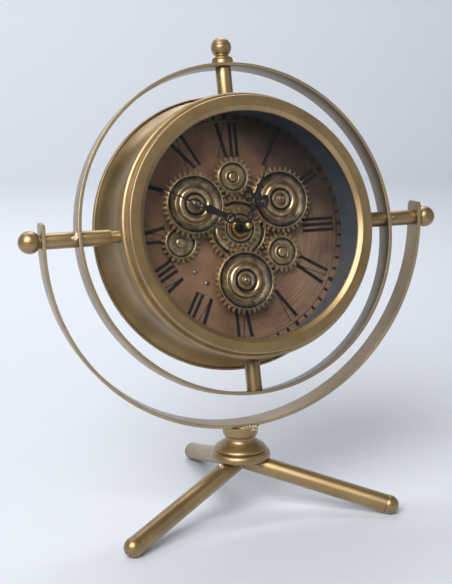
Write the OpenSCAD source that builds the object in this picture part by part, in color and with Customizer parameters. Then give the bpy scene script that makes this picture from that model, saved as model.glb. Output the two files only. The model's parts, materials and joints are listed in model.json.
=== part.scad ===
// Gear mantel clock: a round case hung in a hoop, and the hoop hung in a yoke
// on a tripod. Behind the glass a train of eight gears turns in front of the dial.
// Origin: on the table, at the middle of the base outline. +Z up, the dial faces -Y.
// Inside the tilting part, heights are counted forwards from the pivot axis.

/* [Stand] */
// Height of the hub's saddle, which carries the yoke, above the table
saddle_h = 74.7; // [74:0.1:100]
// Distance from the hub axis to the middle of each foot dome
leg_reach = 133; // [110:1:160]
// How much further the left, right and rear legs reach, as they are welded
leg_extra = [3.5, -2.5, -4]; // [-8:0.5:8]
// Outer radius of the leg tubes
leg_r = 8; // [6:0.5:9]
// Wall of the leg tubes
leg_wall = 1.2; // [0.8:0.1:2]
// Angle of the legs below the level
leg_slope = 15; // [10:1:20]
// Depth of the flat worn under each foot dome
foot_land = 0.3; // [0.1:0.1:0.6]
// Length of the straight skirt of a foot cap
cap_skirt = 3; // [1:0.5:6]
// How deep the legs' tops are cut into the hub's seat
leg_sink = 1.8; // [1:0.1:3]
// Radius of the hub's base flange
hub_flange_r = 26.4; // [24:0.1:28]
// Height of the flange's rounded shoulder, up to the groove over it
hub_flange_h = 6.2; // [5:0.1:7]
// Radius of the groove between flange and bell
hub_groove_r = 20.8; // [19:0.1:21]
// Radius of the bell's lip
hub_bell_r = 21.3; // [21:0.1:23]
// Height of the bell, from its lip to the waist
hub_bell_h = 12.4; // [9:0.1:14]
// Radius of the waist under the collar
hub_waist_r = 13.1; // [11:0.1:14]
// Radius of the hub's collar under the yoke
hub_collar_r = 15.4; // [14.5:0.1:17]
// Radius of the core that the legs' mitred ends meet on
hub_core_r = 5; // [4:0.5:6]

/* [Yoke, hoop and rods] */
// Width of the flat steel strip
strip_w = 19; // [14:0.5:24]
// Thickness of the flat steel strip
strip_t = 3; // [2:0.1:4]
// Gap between the case's back rim and the hoop
hoop_gap = 17.8; // [14:0.1:24]
// Gap between the hoop and the yoke
yoke_gap = 26.5; // [24:0.5:34]
// How far the yoke's centre lies below the pivot axis
yoke_drop = 3.3; // [0:0.1:8]
// How far the yoke's ends rise above the pivot axis
yoke_rise = 14.5; // [9:0.5:18]
// Clipped corner of the yoke's ends
yoke_clip = 3; // [1:0.5:5]
// Radius of the spacer tubes and posts
rod_r = 6.6; // [5.5:0.05:7.5]
// Radius of the threaded studs inside them
stud_r = 3; // [2.5:0.1:3.5]
// Radius of the ball knobs
ball_r = 9.2; // [8:0.1:11]
// Distance from the yoke's outer face to the ball knob's middle
ball_stand = 8.5; // [7.8:0.1:10]
// Radius of the neck behind a ball knob
ball_neck_r = 5.5; // [4.5:0.1:6.5]
// Radius of the finial's ball
finial_r = 8.7; // [7:0.1:10]
// Distance from the hoop's outer face to the middle of the finial's ball
finial_stand = 14.5; // [13:0.1:18]
// Radius of the finial's foot flange
finial_flange_r = 9.2; // [8:0.1:10]
// Height of the two rings of the finial's foot, over the hoop
finial_flange_h = 5.4; // [3:0.1:7]
// Radius of the finial's waist under the ball
finial_waist_r = 5.6; // [5:0.1:6.5]
// Radius of the flush screw head under the hoop
flush_r = 5.2; // [4.5:0.1:6]
// Angle that the clock leans back in its yoke
tilt = 14.5; // [0:0.5:25]

/* [Case] */
// Radius of the straight front wall of the case
case_r = 104; // [102:0.5:108]
// Wall of the case
case_wall = 1.6; // [1.2:0.1:2.5]
// Height of the case's front edge in front of the pivot axis
case_front = 33; // [30:0.5:36]
// Depth of the case's back edge behind the pivot axis
case_back = 30.2; // [28:0.2:36]
// How far the front flange bead stands out past the straight wall
flange_out = 6.3; // [4.5:0.1:9]
// Radius of the round of the front flange bead
flange_bead = 3.2; // [2.5:0.1:4]
// How far the back rim stands out past the straight wall
rim_out = 15.2; // [12:0.1:19]
// Radius of the round of the back rim
rim_bead = 2; // [1.5:0.1:3]
// Radius of the bosses that the rods screw into
boss_r = 5.1; // [4.5:0.1:6]
// How far the bosses' outer faces stand out past the straight wall
boss_out = 8; // [3:0.1:16]
// How far the bezel stands out past the straight wall
bezel_out = 2.1; // [1.6:0.1:4]
// Height of the bezel's face in front of the pivot axis
bezel_front = 39.2; // [38:0.1:42]
// How far the bezel's flat face reaches in from the straight wall
bezel_face_in = 7; // [5:0.5:9]
// How far the bezel's opening lies inside the straight wall
bezel_open_in = 10.6; // [9.8:0.1:14]
// Thickness of the glass
glass_t = 2; // [1.5:0.1:3]
// How far the dark wall between the glass and the dial lies inside the straight wall
liner_in = 4; // [3.5:0.1:6]
// Wall of that liner
liner_wall = 0.8; // [0.6:0.1:1.2]
// Depth of the dial's face behind the pivot axis
dial_depth = 9; // [6.5:0.1:9.2]
// Thickness of the dial plate
dial_t = 1; // [0.8:0.1:2]
// Thickness of the back cover
cover_t = 1.2; // [1:0.1:2]
// Side of the window in the back cover, behind the movement
window_w = 62; // [60:1:70]

/* [Gears] */
// Teeth of each large gear
big_teeth = 36; // [30:1:42]
// Teeth of each small gear
small_teeth = 21; // [18:3:24]
// Distance from the dial's middle to the six outer arbors
gear_arm = 44.3; // [43.5:0.1:46]
// Height of a large gear's tooth above its pitch circle
big_add = 0.75; // [0.5:0.05:0.9]
// Depth of a large gear's tooth below its pitch circle
big_ded = 3.2; // [2.8:0.1:3.4]
// Height of a small gear's tooth above its pitch circle
small_add = 1.25; // [0.9:0.05:1.3]
// Depth of a small gear's tooth below its pitch circle
small_ded = 1.7; // [1.6:0.05:2]
// Width of a tooth's blunt tip
tooth_tip = 0.5; // [0.3:0.1:0.8]
// Thickness of the toothed flanges
gear_t = 1.6; // [1.2:0.1:1.8]
// Height of the front gears' backs in front of the pivot axis
front_level = 1.7; // [1.2:0.1:2]
// Depth of the middle gears' backs behind the pivot axis
middle_level = 3.3; // [3:0.1:3.5]
// Depth of the rear gears' backs behind the pivot axis
rear_level = 6.9; // [6.6:0.1:7.2]
// Direction of the drive gear, seen from the left large gear
drive_angle = 248; // [240:1:250]
// Radius of the gear posts
post_r = 2; // [1.6:0.1:2.1]
// Height of the long posts' tips in front of the pivot axis
post_tip = 12.8; // [12.5:0.1:14]
// Radius of the long hub sleeve behind a large gear
sleeve_r = 4; // [3.5:0.1:4.5]

/* [Gear faces] */
// Gap between a large gear's lip and the roots of its teeth
big_lip_in = 0.2; // [0.1:0.1:0.6]
// Gap between a small gear's lip and the roots of its teeth
small_lip_in = 1.2; // [0.8:0.1:1.6]
// Height of a large gear's lip and middle disc above its back
big_lip_h = 5; // [4.4:0.1:5.5]
// Height of a small gear's lip above its back
small_lip_h = 3; // [2.4:0.1:3.2]
// Height of the centre wheel's lip and plateau above its back
wheel_lip_h = 3.3; // [2.6:0.1:3.6]
// Width of the flat top of a large gear's lip
lip_w = 0.8; // [0.5:0.1:1.2]
// Thickness of the sheet that a large gear's face is spun from
face_t = 1.4; // [1:0.1:1.6]
// Radius of the middle of the step ring in a large gear's face
step_r = 16.1; // [15.9:0.1:16.6]
// Width of that ring
step_w = 2; // [1.6:0.1:2.4]
// Radius of the middle of the round ring in a large gear's face
round_r = 12.1; // [11.9:0.1:12.3]
// Width of that ring
round_w = 5.7; // [5.2:0.1:5.8]
// Height of that ring's crest above the gear's back
round_h = 5.3; // [4.6:0.1:5.8]
// Radius of the disc at a large gear's middle
disc_r = 7.6; // [7:0.1:8]
// Radius of the cone on that disc
cone_r = 3.4; // [3:0.1:3.8]
// Height of the cone's tip above the gear's back
cone_h = 7.8; // [6.5:0.1:8.5]
// Distance from a large gear's axis to the small hole in its face
big_hole_at = 19.4; // [19:0.1:21]
// Distance from a small gear's axis to the rivet hole in its web
small_hole_at = 7.2; // [6.5:0.1:9]
// Radius of the centre wheel's plateau
plateau_r = 20.6; // [19:0.1:21]
// Distance from the centre wheel's axis to the rivets on its plateau
rivet_at = 15.7; // [12:0.1:17]

/* [Hands] */
// Length of the hour hand
hour_len = 57; // [50:1:62]
// Length of the minute hand
minute_len = 86; // [80:1:92]
// Thickness of the hands
hand_t = 0.7; // [0.5:0.1:1]
// Height of the hour hand's back in front of the pivot axis
hour_level = 20.3; // [19.5:0.1:21]
// Gap between the two hands
hand_gap = 1.2; // [1:0.1:2]
// Angle of the hour hand, clockwise from twelve
hour_angle = 24.6; // [0:0.1:360]
// Angle of the minute hand, clockwise from twelve
minute_angle = 295.8; // [0:0.1:360]
// Radius of the hour pipe
pipe_r = 2.5; // [2.2:0.1:2.8]
// Radius of the minute arbor
arbor_r = 1.5; // [1:0.1:1.6]
// Radius of the hands' hub plates
hand_hub_r = 4.6; // [4:0.1:5.5]
// Radius of the brass cap on the hands
cap_r = 3.5; // [3:0.1:4]

/* [Movement and drive] */
// Side of the square movement case
move_w = 56; // [50:1:58]
// Depth of the movement and drive cases
move_d = 16; // [15:0.5:18]
// Radius of the movement's threaded bush
bush_r = 4; // [3.5:0.1:4.5]
// Radius of the round nut on the bush
nut_r = 8.8; // [7:0.1:9.2]
// Thickness of that nut
nut_t = 3; // [2.4:0.1:3.4]
// Radius of a round cell
cell_r = 7.1; // [7:0.1:7.3]
// Length of a round cell
cell_l = 50; // [49:0.5:50.5]
// Radius of the setting knob
knob_r = 7; // [6:0.1:8]
// Travel of the drive's switch
switch_travel = 4; // [3:0.5:5]

/* [Clearances] */
// Radial clearance of a running fit
run_fit = 0.05; // [0.02:0.01:0.08]
// Gap between faces that slide past each other
face_gap = 0.3; // [0.2:0.05:0.4]
// Radial clearance of a fixed stud in its hole
seat_fit = 0.05; // [0.02:0.01:0.1]

/* [Hidden] */
$fn = 96;
eps = 0.01;

gold = [0.55, 0.45, 0.29];
brass = [0.52, 0.44, 0.30];
steel = [0.62, 0.62, 0.60];
black = [0.06, 0.06, 0.06];
copper = [0.42, 0.29, 0.23];
slate = [0.25, 0.27, 0.29];
grey = [0.35, 0.35, 0.36];

case_in = case_r - case_wall;
cove_r = case_r - 0.2;
flange_r = case_r + flange_out;
rim_r = case_r + rim_out;
boss_end = case_r + boss_out;
bezel_r = case_r + bezel_out;
bezel_face_r = case_r - bezel_face_in;
bezel_open_r = case_r - bezel_open_in;
liner_r = case_r - liner_in;

hoop_in = rim_r + hoop_gap;
hoop_r = hoop_in + strip_t;
yoke_in = hoop_r + yoke_gap;
yoke_r = yoke_in + strip_t;
yoke_z = saddle_h + yoke_r;
pivot_h = yoke_z + yoke_drop;

hub_y = (reach(0) / 2 - reach(2)) / 2;
foot_z = leg_r - foot_land;
// Directions of the left, right and rear legs, seen from above
leg_dirs = [210, 330, 90];

core_len = leg_r;
// Distance from the hub axis at which the legs' tops reach its seat
leg_seat_at = 15;
hub_base = foot_z + (leg_reach - leg_seat_at) * tan(leg_slope) + leg_r / cos(leg_slope)
    - leg_sink;

bezel_back = case_front - 2;
glass_back = case_front;
ledge = glass_back + glass_t;
dial_front = -dial_depth;
dial_back = dial_front - dial_t;
cover_front = -(case_back - 1.8);
cover_back = cover_front - cover_t;

// Angle of the right large gear above the level
gear_start = 30;
tooth_module = 2 * gear_arm / (big_teeth + small_teeth);
big_pitch = tooth_module * big_teeth / 2;
small_pitch = tooth_module * small_teeth / 2;
big_root = big_pitch - big_ded;
big_tip = big_pitch + big_add;
small_root = small_pitch - small_ded;
small_tip = small_pitch + small_add;
big_lip_r = big_root - big_lip_in;
small_lip_r = small_root - small_lip_in;
small_web = 1;
small_boss = 4.1;
// Directions of the small hole in the web of the left, right and bottom gears
web_holes = [187, 310, 284];
left_axis = gear_arm * [cos(180 - gear_start), sin(180 - gear_start)];
right_axis = gear_arm * [cos(gear_start), sin(gear_start)];
bottom_axis = gear_arm * [0, -1];
top_small_axis = gear_arm * [0, 1];
right_small_axis = gear_arm * [cos(-gear_start), sin(-gear_start)];
drive_axis = left_axis + 2 * small_pitch * [cos(drive_angle), sin(drive_angle)];

minute_level = hour_level + hand_t + hand_gap;
minute_top = minute_level + hand_t;
nut_back = front_level + gear_t + face_gap;
bush_end = nut_back + nut_t + 0.6;

// Middles of the two screws in the dial that hold the drive's case
screw_spots = [[-39.5, -33.3], [-30, -43.4]];
screw_r = 1.2;
lug_r = 5;
lug_t = 7;
cover_r = rim_r - 2 * rim_bead - 0.4;
cover_screw_r = cover_r - 4.5;
case_back_level = dial_back - move_d;
cell_level = case_back_level + cell_r - 0.3;
cell_z = -17;
knob_spot = [12, 12];
motor_size = [46, 60];
motor_middle = [-(move_w + motor_size[0]) / 2 - 3, -19];
motor_window = [34, 54];
motor_cell_x = motor_middle[0] - 8;
switch_spot = motor_middle + [10, 4];
switch_size = [4, 5];

// Points of an arc about (x, y), from angle a0 to a1
function arc_pts(x, y, r, a0, a1, n = 8) =
    [for (i = [0:n]) let (a = a0 + (a1 - a0) * i / n) [x + r * cos(a), y + r * sin(a)]];

// Angle of one tooth of a follower that meshes in direction theta with a gear
// of n_d teeth, one of which points along phase_d
function mesh_phase(theta, phase_d, n_d, n_f) =
    theta + 180 - (360 / n_f) * ((phase_d - theta) * n_d / 360 + 0.5);

// Outline of a wheel with n pointed teeth between the radii root and tip
function teeth_pts(n, root, tip, phase) =
    let (half_root = 0.4 * 360 / n,
         half_tip = atan(tooth_tip / 2 / tip))
    [for (i = [0:n - 1])
        let (a = phase + i * 360 / n)
        for (p = [[root, -half_root], [tip, -half_tip], [tip, half_tip], [root, half_root]])
            p[0] * [cos(a + p[1]), sin(a + p[1])]];

// Places what is drawn in the tilting part's own axes
module in_unit() {
    translate([0, hub_y, pivot_h]) rotate([-tilt, 0, 0]) children();
}

// As in_unit, with the drawing plane on the dial and heights counted forwards
module facing() {
    in_unit() rotate([90, 0, 0]) children();
}

module at_axis(p, h) {
    translate([p[0], p[1], h]) children();
}

// Lays a cylinder drawn along +Z out along the radius at angle a in the dial's plane
module radial(a) {
    rotate([0, 0, a]) rotate([0, 90, 0]) children();
}

// A full strip hoop about the Y axis
module strip_hoop(r) {
    rotate([90, 0, 0]) difference() {
        cylinder(r = r, h = strip_w, center = true, $fn = 256);
        cylinder(r = r - strip_t, h = strip_w + 1, center = true, $fn = 256);
    }
}

module yoke_end_plate() {
    h = yoke_drop + yoke_rise;
    w = strip_w / 2;
    rotate([90, 0, 90]) linear_extrude(strip_t)
        polygon([[-w, 0], [w, 0], [w, h - yoke_clip], [w - yoke_clip, h],
                 [yoke_clip - w, h], [-w, h - yoke_clip]]);
}

module yoke() {
    color(gold) translate([0, hub_y, 0]) difference() {
        union() {
            translate([0, 0, yoke_z]) intersection() {
                strip_hoop(yoke_r);
                translate([-yoke_r - 1, -strip_w, -yoke_r - 1])
                    cube([2 * yoke_r + 2, 2 * strip_w, yoke_r + 1]);
            }
            translate([yoke_in, 0, yoke_z]) yoke_end_plate();
            translate([-yoke_r, 0, yoke_z]) yoke_end_plate();
        }
        translate([0, 0, pivot_h]) rotate([0, 90, 0])
            cylinder(r = stud_r + run_fit, h = 2 * yoke_r + 2, center = true);
    }
}

module hub_profile() {
    edge_z = hub_base + 1.8;
    lip_z = hub_base + hub_flange_h + 0.8;
    waist_z = lip_z + hub_bell_h;
    shoulder = hub_flange_r - hub_groove_r - 0.9;
    polygon(concat(
        [[0, hub_base - core_len], [hub_core_r, hub_base - core_len], [hub_core_r, hub_base],
         [hub_flange_r - 1.4, hub_base], [hub_flange_r - 0.3, hub_base + 0.7]],
        [for (i = [0:8]) let (a = 90 * i / 8)
            [hub_flange_r - shoulder * (1 - cos(a)),
             edge_z + (hub_flange_h - 2.2) * sin(a)]],
        [[hub_groove_r, hub_base + hub_flange_h - 0.1], [hub_groove_r, lip_z - 0.4]],
        [for (i = [0:12]) let (s = i / 12)
            [hub_waist_r + (hub_bell_r - hub_waist_r) * (1 + cos(180 * s)) / 2,
             lip_z + hub_bell_h * s]],
        [for (i = [1:6]) let (a = 90 * i / 6)
            [hub_waist_r + (hub_collar_r - hub_waist_r) * sin(a), waist_z + 4.2 * (1 - cos(a))]],
        [[hub_collar_r, saddle_h + 2], [0, saddle_h + 2]]));
}

module base_hub() {
    color(gold) translate([0, hub_y, 0]) difference() {
        rotate_extrude() hub_profile();
        translate([0, 0, yoke_z]) rotate([90, 0, 0])
            cylinder(r = yoke_r, h = 4 * hub_collar_r, center = true, $fn = 256);
    }
}

// Distance from the hub axis to the middle of the foot dome of leg k
function reach(k) = leg_reach + leg_extra[k];

// Slope of leg k, whose tube meets the hub at the same height as the others
function slope(k) = atan((leg_reach - leg_seat_at) * tan(leg_slope) / (reach(k) - leg_seat_at));

// Frame of leg k: origin at the foot dome's middle, +Z towards the hub along the tube
module along_leg(k) {
    translate([0, hub_y, 0]) rotate([0, 0, leg_dirs[k]]) translate([reach(k), 0, foot_z])
        rotate([0, slope(k) - 90, 0]) children();
}

// The third of the base that leg k keeps to, so that the tubes meet in mitres
module leg_share(k) {
    across = 2 * leg_r;
    translate([0, hub_y, 0]) rotate([0, 0, leg_dirs[k]]) linear_extrude(2 * saddle_h)
        polygon([[0, 0], [across / tan(60), -across], [2 * leg_reach, -across],
                 [2 * leg_reach, across], [across / tan(60), across]]);
}

module leg(k) {
    color(gold) difference() {
        intersection() {
            along_leg(k) difference() {
                translate([0, 0, cap_skirt])
                    cylinder(r = leg_r, h = reach(k) / cos(slope(k)) + 2 * leg_r);
                cylinder(r = leg_r - leg_wall, h = 2 * leg_reach);
            }
            leg_share(k);
        }
        translate([0, hub_y, hub_base - core_len]) cylinder(r = hub_core_r, h = core_len + 1);
        translate([0, hub_y, hub_base]) cylinder(r = hub_flange_r + 20, h = 20);
    }
}

module foot_cap(k) {
    color(gold) difference() {
        along_leg(k) {
            intersection() {
                sphere(r = leg_r);
                translate([-leg_r - 1, -leg_r - 1, -leg_r - 1])
                    cube([2 * leg_r + 2, 2 * leg_r + 2, leg_r + 1]);
            }
            cylinder(r = leg_r, h = cap_skirt - eps);
            cylinder(r = leg_r - leg_wall - seat_fit, h = cap_skirt + 8);
        }
        translate([-2 * leg_reach, -2 * leg_reach, -10])
            cube([4 * leg_reach, 4 * leg_reach, 10]);
    }
}

// Cone of the flush screw head, along the radius; fit widens it
module flush_cone(fit) {
    translate([0, 0, hoop_in + 0.5])
        cylinder(r1 = stud_r + seat_fit + fit, r2 = flush_r + fit, h = strip_t - 0.3);
}

module gimbal_ring() {
    color(gold) in_unit() difference() {
        strip_hoop(hoop_r);
        rotate([180, 0, 0]) flush_cone(seat_fit);
        rotate([0, 90, 0]) cylinder(r = stud_r + seat_fit, h = 2 * hoop_r + 2, center = true);
        cylinder(r = stud_r + seat_fit, h = 2 * hoop_r + 2, center = true);
    }
}

// A tube along the radius at angle a, from r0 to r1, coped to the hoop
module spoke_tube(a, r0, r1) {
    facing() radial(a) translate([0, 0, r0]) difference() {
        cylinder(r = rod_r, h = r1 - r0);
        translate([0, 0, -1]) cylinder(r = stud_r + seat_fit, h = r1 - r0 + 2);
    }
}

module inner_spoke(a) {
    color(gold) intersection() {
        spoke_tube(a, boss_end, hoop_r);
        in_unit() rotate([90, 0, 0])
            cylinder(r = hoop_in, h = 4 * rod_r, center = true, $fn = 256);
    }
}

module outer_spoke(a) {
    color(gold) difference() {
        spoke_tube(a, hoop_in, yoke_in - face_gap);
        in_unit() rotate([90, 0, 0])
            cylinder(r = hoop_r, h = 4 * rod_r, center = true, $fn = 256);
    }
}

module stud(a, r1) {
    color(steel) facing() radial(a) translate([0, 0, boss_end - 4])
        cylinder(r = stud_r, h = r1 - boss_end + 4);
}

module ball_knob(a) {
    middle = yoke_r + ball_stand;
    color(gold) facing() radial(a) difference() {
        union() {
            translate([0, 0, middle]) sphere(r = ball_r);
            translate([0, 0, yoke_r]) cylinder(r = ball_neck_r, h = ball_r / 2);
        }
        cylinder(r = ball_r, h = yoke_r + face_gap);
        cylinder(r = stud_r + seat_fit, h = middle + 2);
    }
}

module finial() {
    middle = hoop_r + finial_stand;
    foot_end = hoop_r + finial_flange_h;
    color(gold) facing() radial(90) difference() {
        union() {
            translate([0, 0, middle]) sphere(r = finial_r);
            rotate_extrude() polygon([
                [0, hoop_r - 1], [finial_flange_r, hoop_r - 1],
                [finial_flange_r, foot_end - 2.6], [finial_flange_r - 0.6, foot_end - 2],
                [finial_flange_r - 1.1, foot_end - 1.8], [finial_flange_r - 0.5, foot_end - 1.4],
                [finial_flange_r - 0.5, foot_end - 0.5], [finial_flange_r - 1, foot_end],
                [finial_waist_r + 1.2, foot_end + 0.5], [finial_waist_r + 0.2, foot_end + 1.5],
                [finial_waist_r, foot_end + 2.5], [0, foot_end + 3.5]]);
        }
        translate([0, 0, middle + 2.6]) difference() {
            cylinder(r = finial_r + 1, h = 0.8);
            translate([0, 0, -1]) cylinder(r = finial_r - 1, h = 3);
        }
        rotate([0, 90, 0]) cylinder(r = hoop_r, h = 4 * finial_flange_r, center = true, $fn = 256);
        cylinder(r = stud_r + seat_fit, h = middle - 4);
    }
}

module bottom_nut() {
    color(gold) facing() radial(-90) difference() {
        intersection() {
            flush_cone(0);
            rotate([0, 90, 0]) cylinder(r = hoop_r, h = 4 * flush_r, center = true, $fn = 256);
        }
        cylinder(r = stud_r + seat_fit, h = hoop_r - 1);
        translate([0, 0, hoop_r - 2]) cylinder(r = stud_r / 2, h = 3, $fn = 6);
    }
}

module post_studs() {
    stud(90, hoop_r + finial_stand - 4.5);
    stud(-90, hoop_r - 1 - face_gap);
}

// Outer line of the case, from its front edge to the back rim
function case_outer() = concat(
    [[case_r, case_front], [case_r, bezel_back - 0.9], [case_r + 1.6, bezel_back - 1.1]],
    arc_pts(flange_r - flange_bead, bezel_back - 1.2 - flange_bead, flange_bead, 100, -70, 10),
    [for (i = [0:6]) let (s = i / 6)
        [cove_r + (flange_r - flange_bead - cove_r) * pow(1 - s, 2),
         bezel_back - 2 - 2 * flange_bead - (bezel_back - 2 - 2 * flange_bead - 8) * s]],
    [for (i = [0:12]) let (s = i / 12)
        [cove_r + (rim_r - rim_bead - cove_r) * s * s, -2 - (case_back - 5.2) * s]],
    arc_pts(rim_r - rim_bead, -case_back, rim_bead, 80, -180, 12));

// Holes of the back cover's screws, from the height h forwards
module cover_holes(h) {
    for (a = [45:90:315]) rotate([0, 0, a]) translate([cover_screw_r, 0, h])
        cylinder(r = screw_r + seat_fit, h = cover_t + 2);
}

// Outer radius of the cove at the height h, behind the straight wall
function cove_at(h) = cove_r + (rim_r - rim_bead - cove_r) * pow((-2 - h) / (case_back - 5.2), 2);

// Inner line of the case, back to its front edge
function case_inner() = concat(
    [[rim_r - 2 * rim_bead, cover_front], [rim_r - 13, cover_front],
     [rim_r - 13, cover_front + cover_t]],
    [for (i = [12:-1:0]) let (s = i / 12)
        [cove_r - case_wall + (rim_r - rim_bead - cove_r) * s * s, -2 - (case_back - 5.2) * s + 0.3]],
    [[case_in, 8], [case_in, case_front]]);

module case_drum() {
    color(gold) facing() difference() {
        union() {
            rotate_extrude($fn = 256) polygon(concat(case_outer(), case_inner()));
            translate([0, 0, dial_back - cover_t]) difference() {
                cylinder(r = cove_at(dial_back) - case_wall / 2, h = cover_t, $fn = 256);
                translate([0, 0, -1]) cylinder(r = liner_r - 3, h = cover_t + 2, $fn = 256);
            }
            for (a = [0:90:270]) radial(a) translate([0, 0, case_in + 0.6])
                cylinder(r = boss_r, h = boss_end - case_in - 0.6);
        }
        for (a = [0:90:270]) radial(a) translate([0, 0, boss_end - 4 - seat_fit])
            cylinder(r = stud_r + seat_fit, h = 10);
        cover_holes(cover_front - 1);
    }
}

module bezel() {
    color(gold) facing() rotate_extrude($fn = 256) polygon([
        [case_r + seat_fit, bezel_back], [bezel_r, bezel_back], [bezel_r, bezel_front - 1.2],
        [bezel_r - 0.7, bezel_front - 0.3], [bezel_r - 1.4, bezel_front],
        [bezel_face_r, bezel_front], [bezel_face_r - 0.6, bezel_front - 0.4],
        [bezel_open_r + 0.4, bezel_front - 2.6], [bezel_open_r, bezel_front - 3],
        [bezel_open_r, ledge], [case_in - 0.6, ledge], [case_in - 0.6, glass_back + 0.1],
        [case_r + seat_fit, glass_back + 0.1]]);
}

module glass() {
    color([0.8, 0.85, 0.85, 0.25]) facing() translate([0, 0, glass_back])
        cylinder(r = case_in - 0.8, h = glass_t - 0.02, $fn = 256);
}

module dial_liner() {
    color(slate) facing() translate([0, 0, dial_front]) difference() {
        cylinder(r = liner_r + liner_wall, h = glass_back - dial_front, $fn = 256);
        translate([0, 0, -1]) cylinder(r = liner_r, h = glass_back - dial_front + 2, $fn = 256);
    }
}

module dial_plate() {
    color(copper) facing() difference() {
        translate([0, 0, dial_back]) cylinder(r = case_in - 0.4, h = dial_t, $fn = 256);
        translate([0, 0, dial_back - 1]) {
            cylinder(r = bush_r + seat_fit, h = dial_t + 2);
            for (p = [left_axis, right_axis, bottom_axis, top_small_axis, right_small_axis])
                at_axis(p, 0) cylinder(r = post_r + seat_fit, h = dial_t + 2);
            at_axis(drive_axis, 0) cylinder(r = post_r + 0.5, h = dial_t + 2);
            for (p = screw_spots) at_axis(p, 0) cylinder(r = screw_r + seat_fit, h = dial_t + 2);
        }
    }
}

module screw(shank) {
    translate([0, 0, -shank]) cylinder(r = screw_r, h = shank + 0.2);
    difference() {
        rotate_extrude() polygon([[0, 0], [2.1, 0], [2.1, 0.5], [1.5, 1.1], [0, 1.3]]);
        translate([-0.3, -3, 0.8]) cube([0.6, 6, 1]);
    }
}

module dial_screws() {
    color(steel) facing() for (p = screw_spots) at_axis(p, dial_front) screw(5);
}

module rounded_square(w, h, r) {
    square([w - 2 * r, h], center = true);
    square([w, h - 2 * r], center = true);
    for (x = [-1, 1], y = [-1, 1])
        translate([x * (w / 2 - r), y * (h / 2 - r)]) circle(r = r, $fn = 32);
}

module back_cover() {
    color(grey) facing() difference() {
        translate([0, 0, cover_back]) cylinder(r = cover_r, h = cover_t - 0.02, $fn = 256);
        translate([-window_w / 2, -window_w / 2, cover_back - 1])
            cube([window_w, window_w, cover_t + 2]);
        translate([motor_middle[0] - motor_window[0] / 2, motor_middle[1] - motor_window[1] / 2,
                   cover_back - 1])
            cube([motor_window[0], motor_window[1], cover_t + 2]);
        cover_holes(cover_back - 1);
    }
}

module back_screws() {
    color(steel) facing() for (a = [45:90:315])
        rotate([0, 0, a]) translate([cover_screw_r, 0, cover_back]) rotate([180, 0, 0]) screw(3);
}

// A plastic case behind the dial, w by h, centred at p
module drive_case(p, w, h) {
    translate([p[0], p[1], case_back_level])
        linear_extrude(move_d) rounded_square(w, h, 3);
}

module clock_movement() {
    color(black) facing() difference() {
        union() {
            drive_case([0, 0], move_w, move_w);
            translate([0, 0, dial_back - 2]) cylinder(r = bush_r, h = bush_end - dial_back + 2);
        }
        translate([0, 0, dial_back - 3]) cylinder(r = pipe_r + run_fit, h = bush_end - dial_back + 4);
        translate([0, 0, dial_back - 9]) cylinder(r = arbor_r + run_fit, h = 10);
        translate([-cell_l / 2 - 0.4, cell_z - cell_r - 0.4, case_back_level - 1])
            cube([cell_l + 0.8, 2 * cell_r + 0.8, 2 * cell_r + 1]);
        at_axis(knob_spot, case_back_level - 1) cylinder(r = 1.5 + run_fit, h = 8);
    }
}

module movement_nut() {
    color([0.66, 0.45, 0.18]) facing() translate([0, 0, nut_back]) rotate_extrude() polygon([
        [bush_r + seat_fit, 0], [nut_r, 0], [nut_r, nut_t - 0.7], [nut_r - 0.7, nut_t],
        [bush_r + seat_fit, nut_t]]);
}

// A round cell along X, its middle at (x, y)
module cell(x, y, along_y) {
    color([0.3, 0.3, 0.32]) facing() translate([x, y, cell_level])
        rotate([0, 0, along_y ? 90 : 0]) rotate([0, 90, 0]) union() {
            cylinder(r = cell_r, h = cell_l - 1.6, center = true);
            translate([0, 0, cell_l / 2 - 1.8]) cylinder(r = 2.7, h = 1.8);
        }
}

module movement_cell() {
    cell(0, cell_z, false);
}

module motor_cell() {
    cell(motor_cell_x, motor_middle[1], true);
}

module setting_knob() {
    color(black) facing() at_axis(knob_spot, case_back_level - face_gap) rotate([180, 0, 0])
        difference() {
            union() {
                cylinder(r = knob_r, h = 3.2);
                cylinder(r = knob_r - 1, h = 4);
                translate([0, 0, -6]) cylinder(r = 1.5, h = 7);
            }
            for (a = [0:20:340]) rotate([0, 0, a]) translate([knob_r + 0.5, 0, -0.5])
                cylinder(r = 0.9, h = 4.2);
        }
}

module gear_motor() {
    color(black) facing() difference() {
        union() {
            drive_case(motor_middle, motor_size[0], motor_size[1]);
            at_axis(screw_spots[1], dial_back - lug_t) cylinder(r = lug_r, h = lug_t);
            at_axis(drive_axis, dial_back - 2)
                cylinder(r = post_r, h = small_web + 1 - rear_level - dial_back + 2);
        }
        translate([motor_cell_x - cell_r - 0.4, motor_middle[1] - cell_l / 2 - 0.4,
                   case_back_level - 1])
            cube([2 * cell_r + 0.8, cell_l + 0.8, 2 * cell_r + 1]);
        at_axis(switch_spot, case_back_level - 1)
            translate([-switch_size[0] / 2 - 0.2, -switch_size[1] / 2 - 0.2, 0])
            cube([switch_size[0] + 0.4, switch_size[1] + switch_travel + 0.4, 3]);
        for (p = screw_spots) at_axis(p, dial_back - 5)
            cylinder(r = screw_r + seat_fit, h = 6);
    }
}

module motor_switch() {
    color([0.75, 0.75, 0.72]) facing() at_axis(switch_spot, case_back_level) {
        translate([-switch_size[0] / 2, -switch_size[1] / 2, -0.8])
            cube([switch_size[0], switch_size[1], 2.5]);
        for (k = [-1:1]) translate([-switch_size[0] / 2, k * 1.5 - 0.4, -1.2])
            cube([switch_size[0], 0.8, 1]);
    }
}

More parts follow.
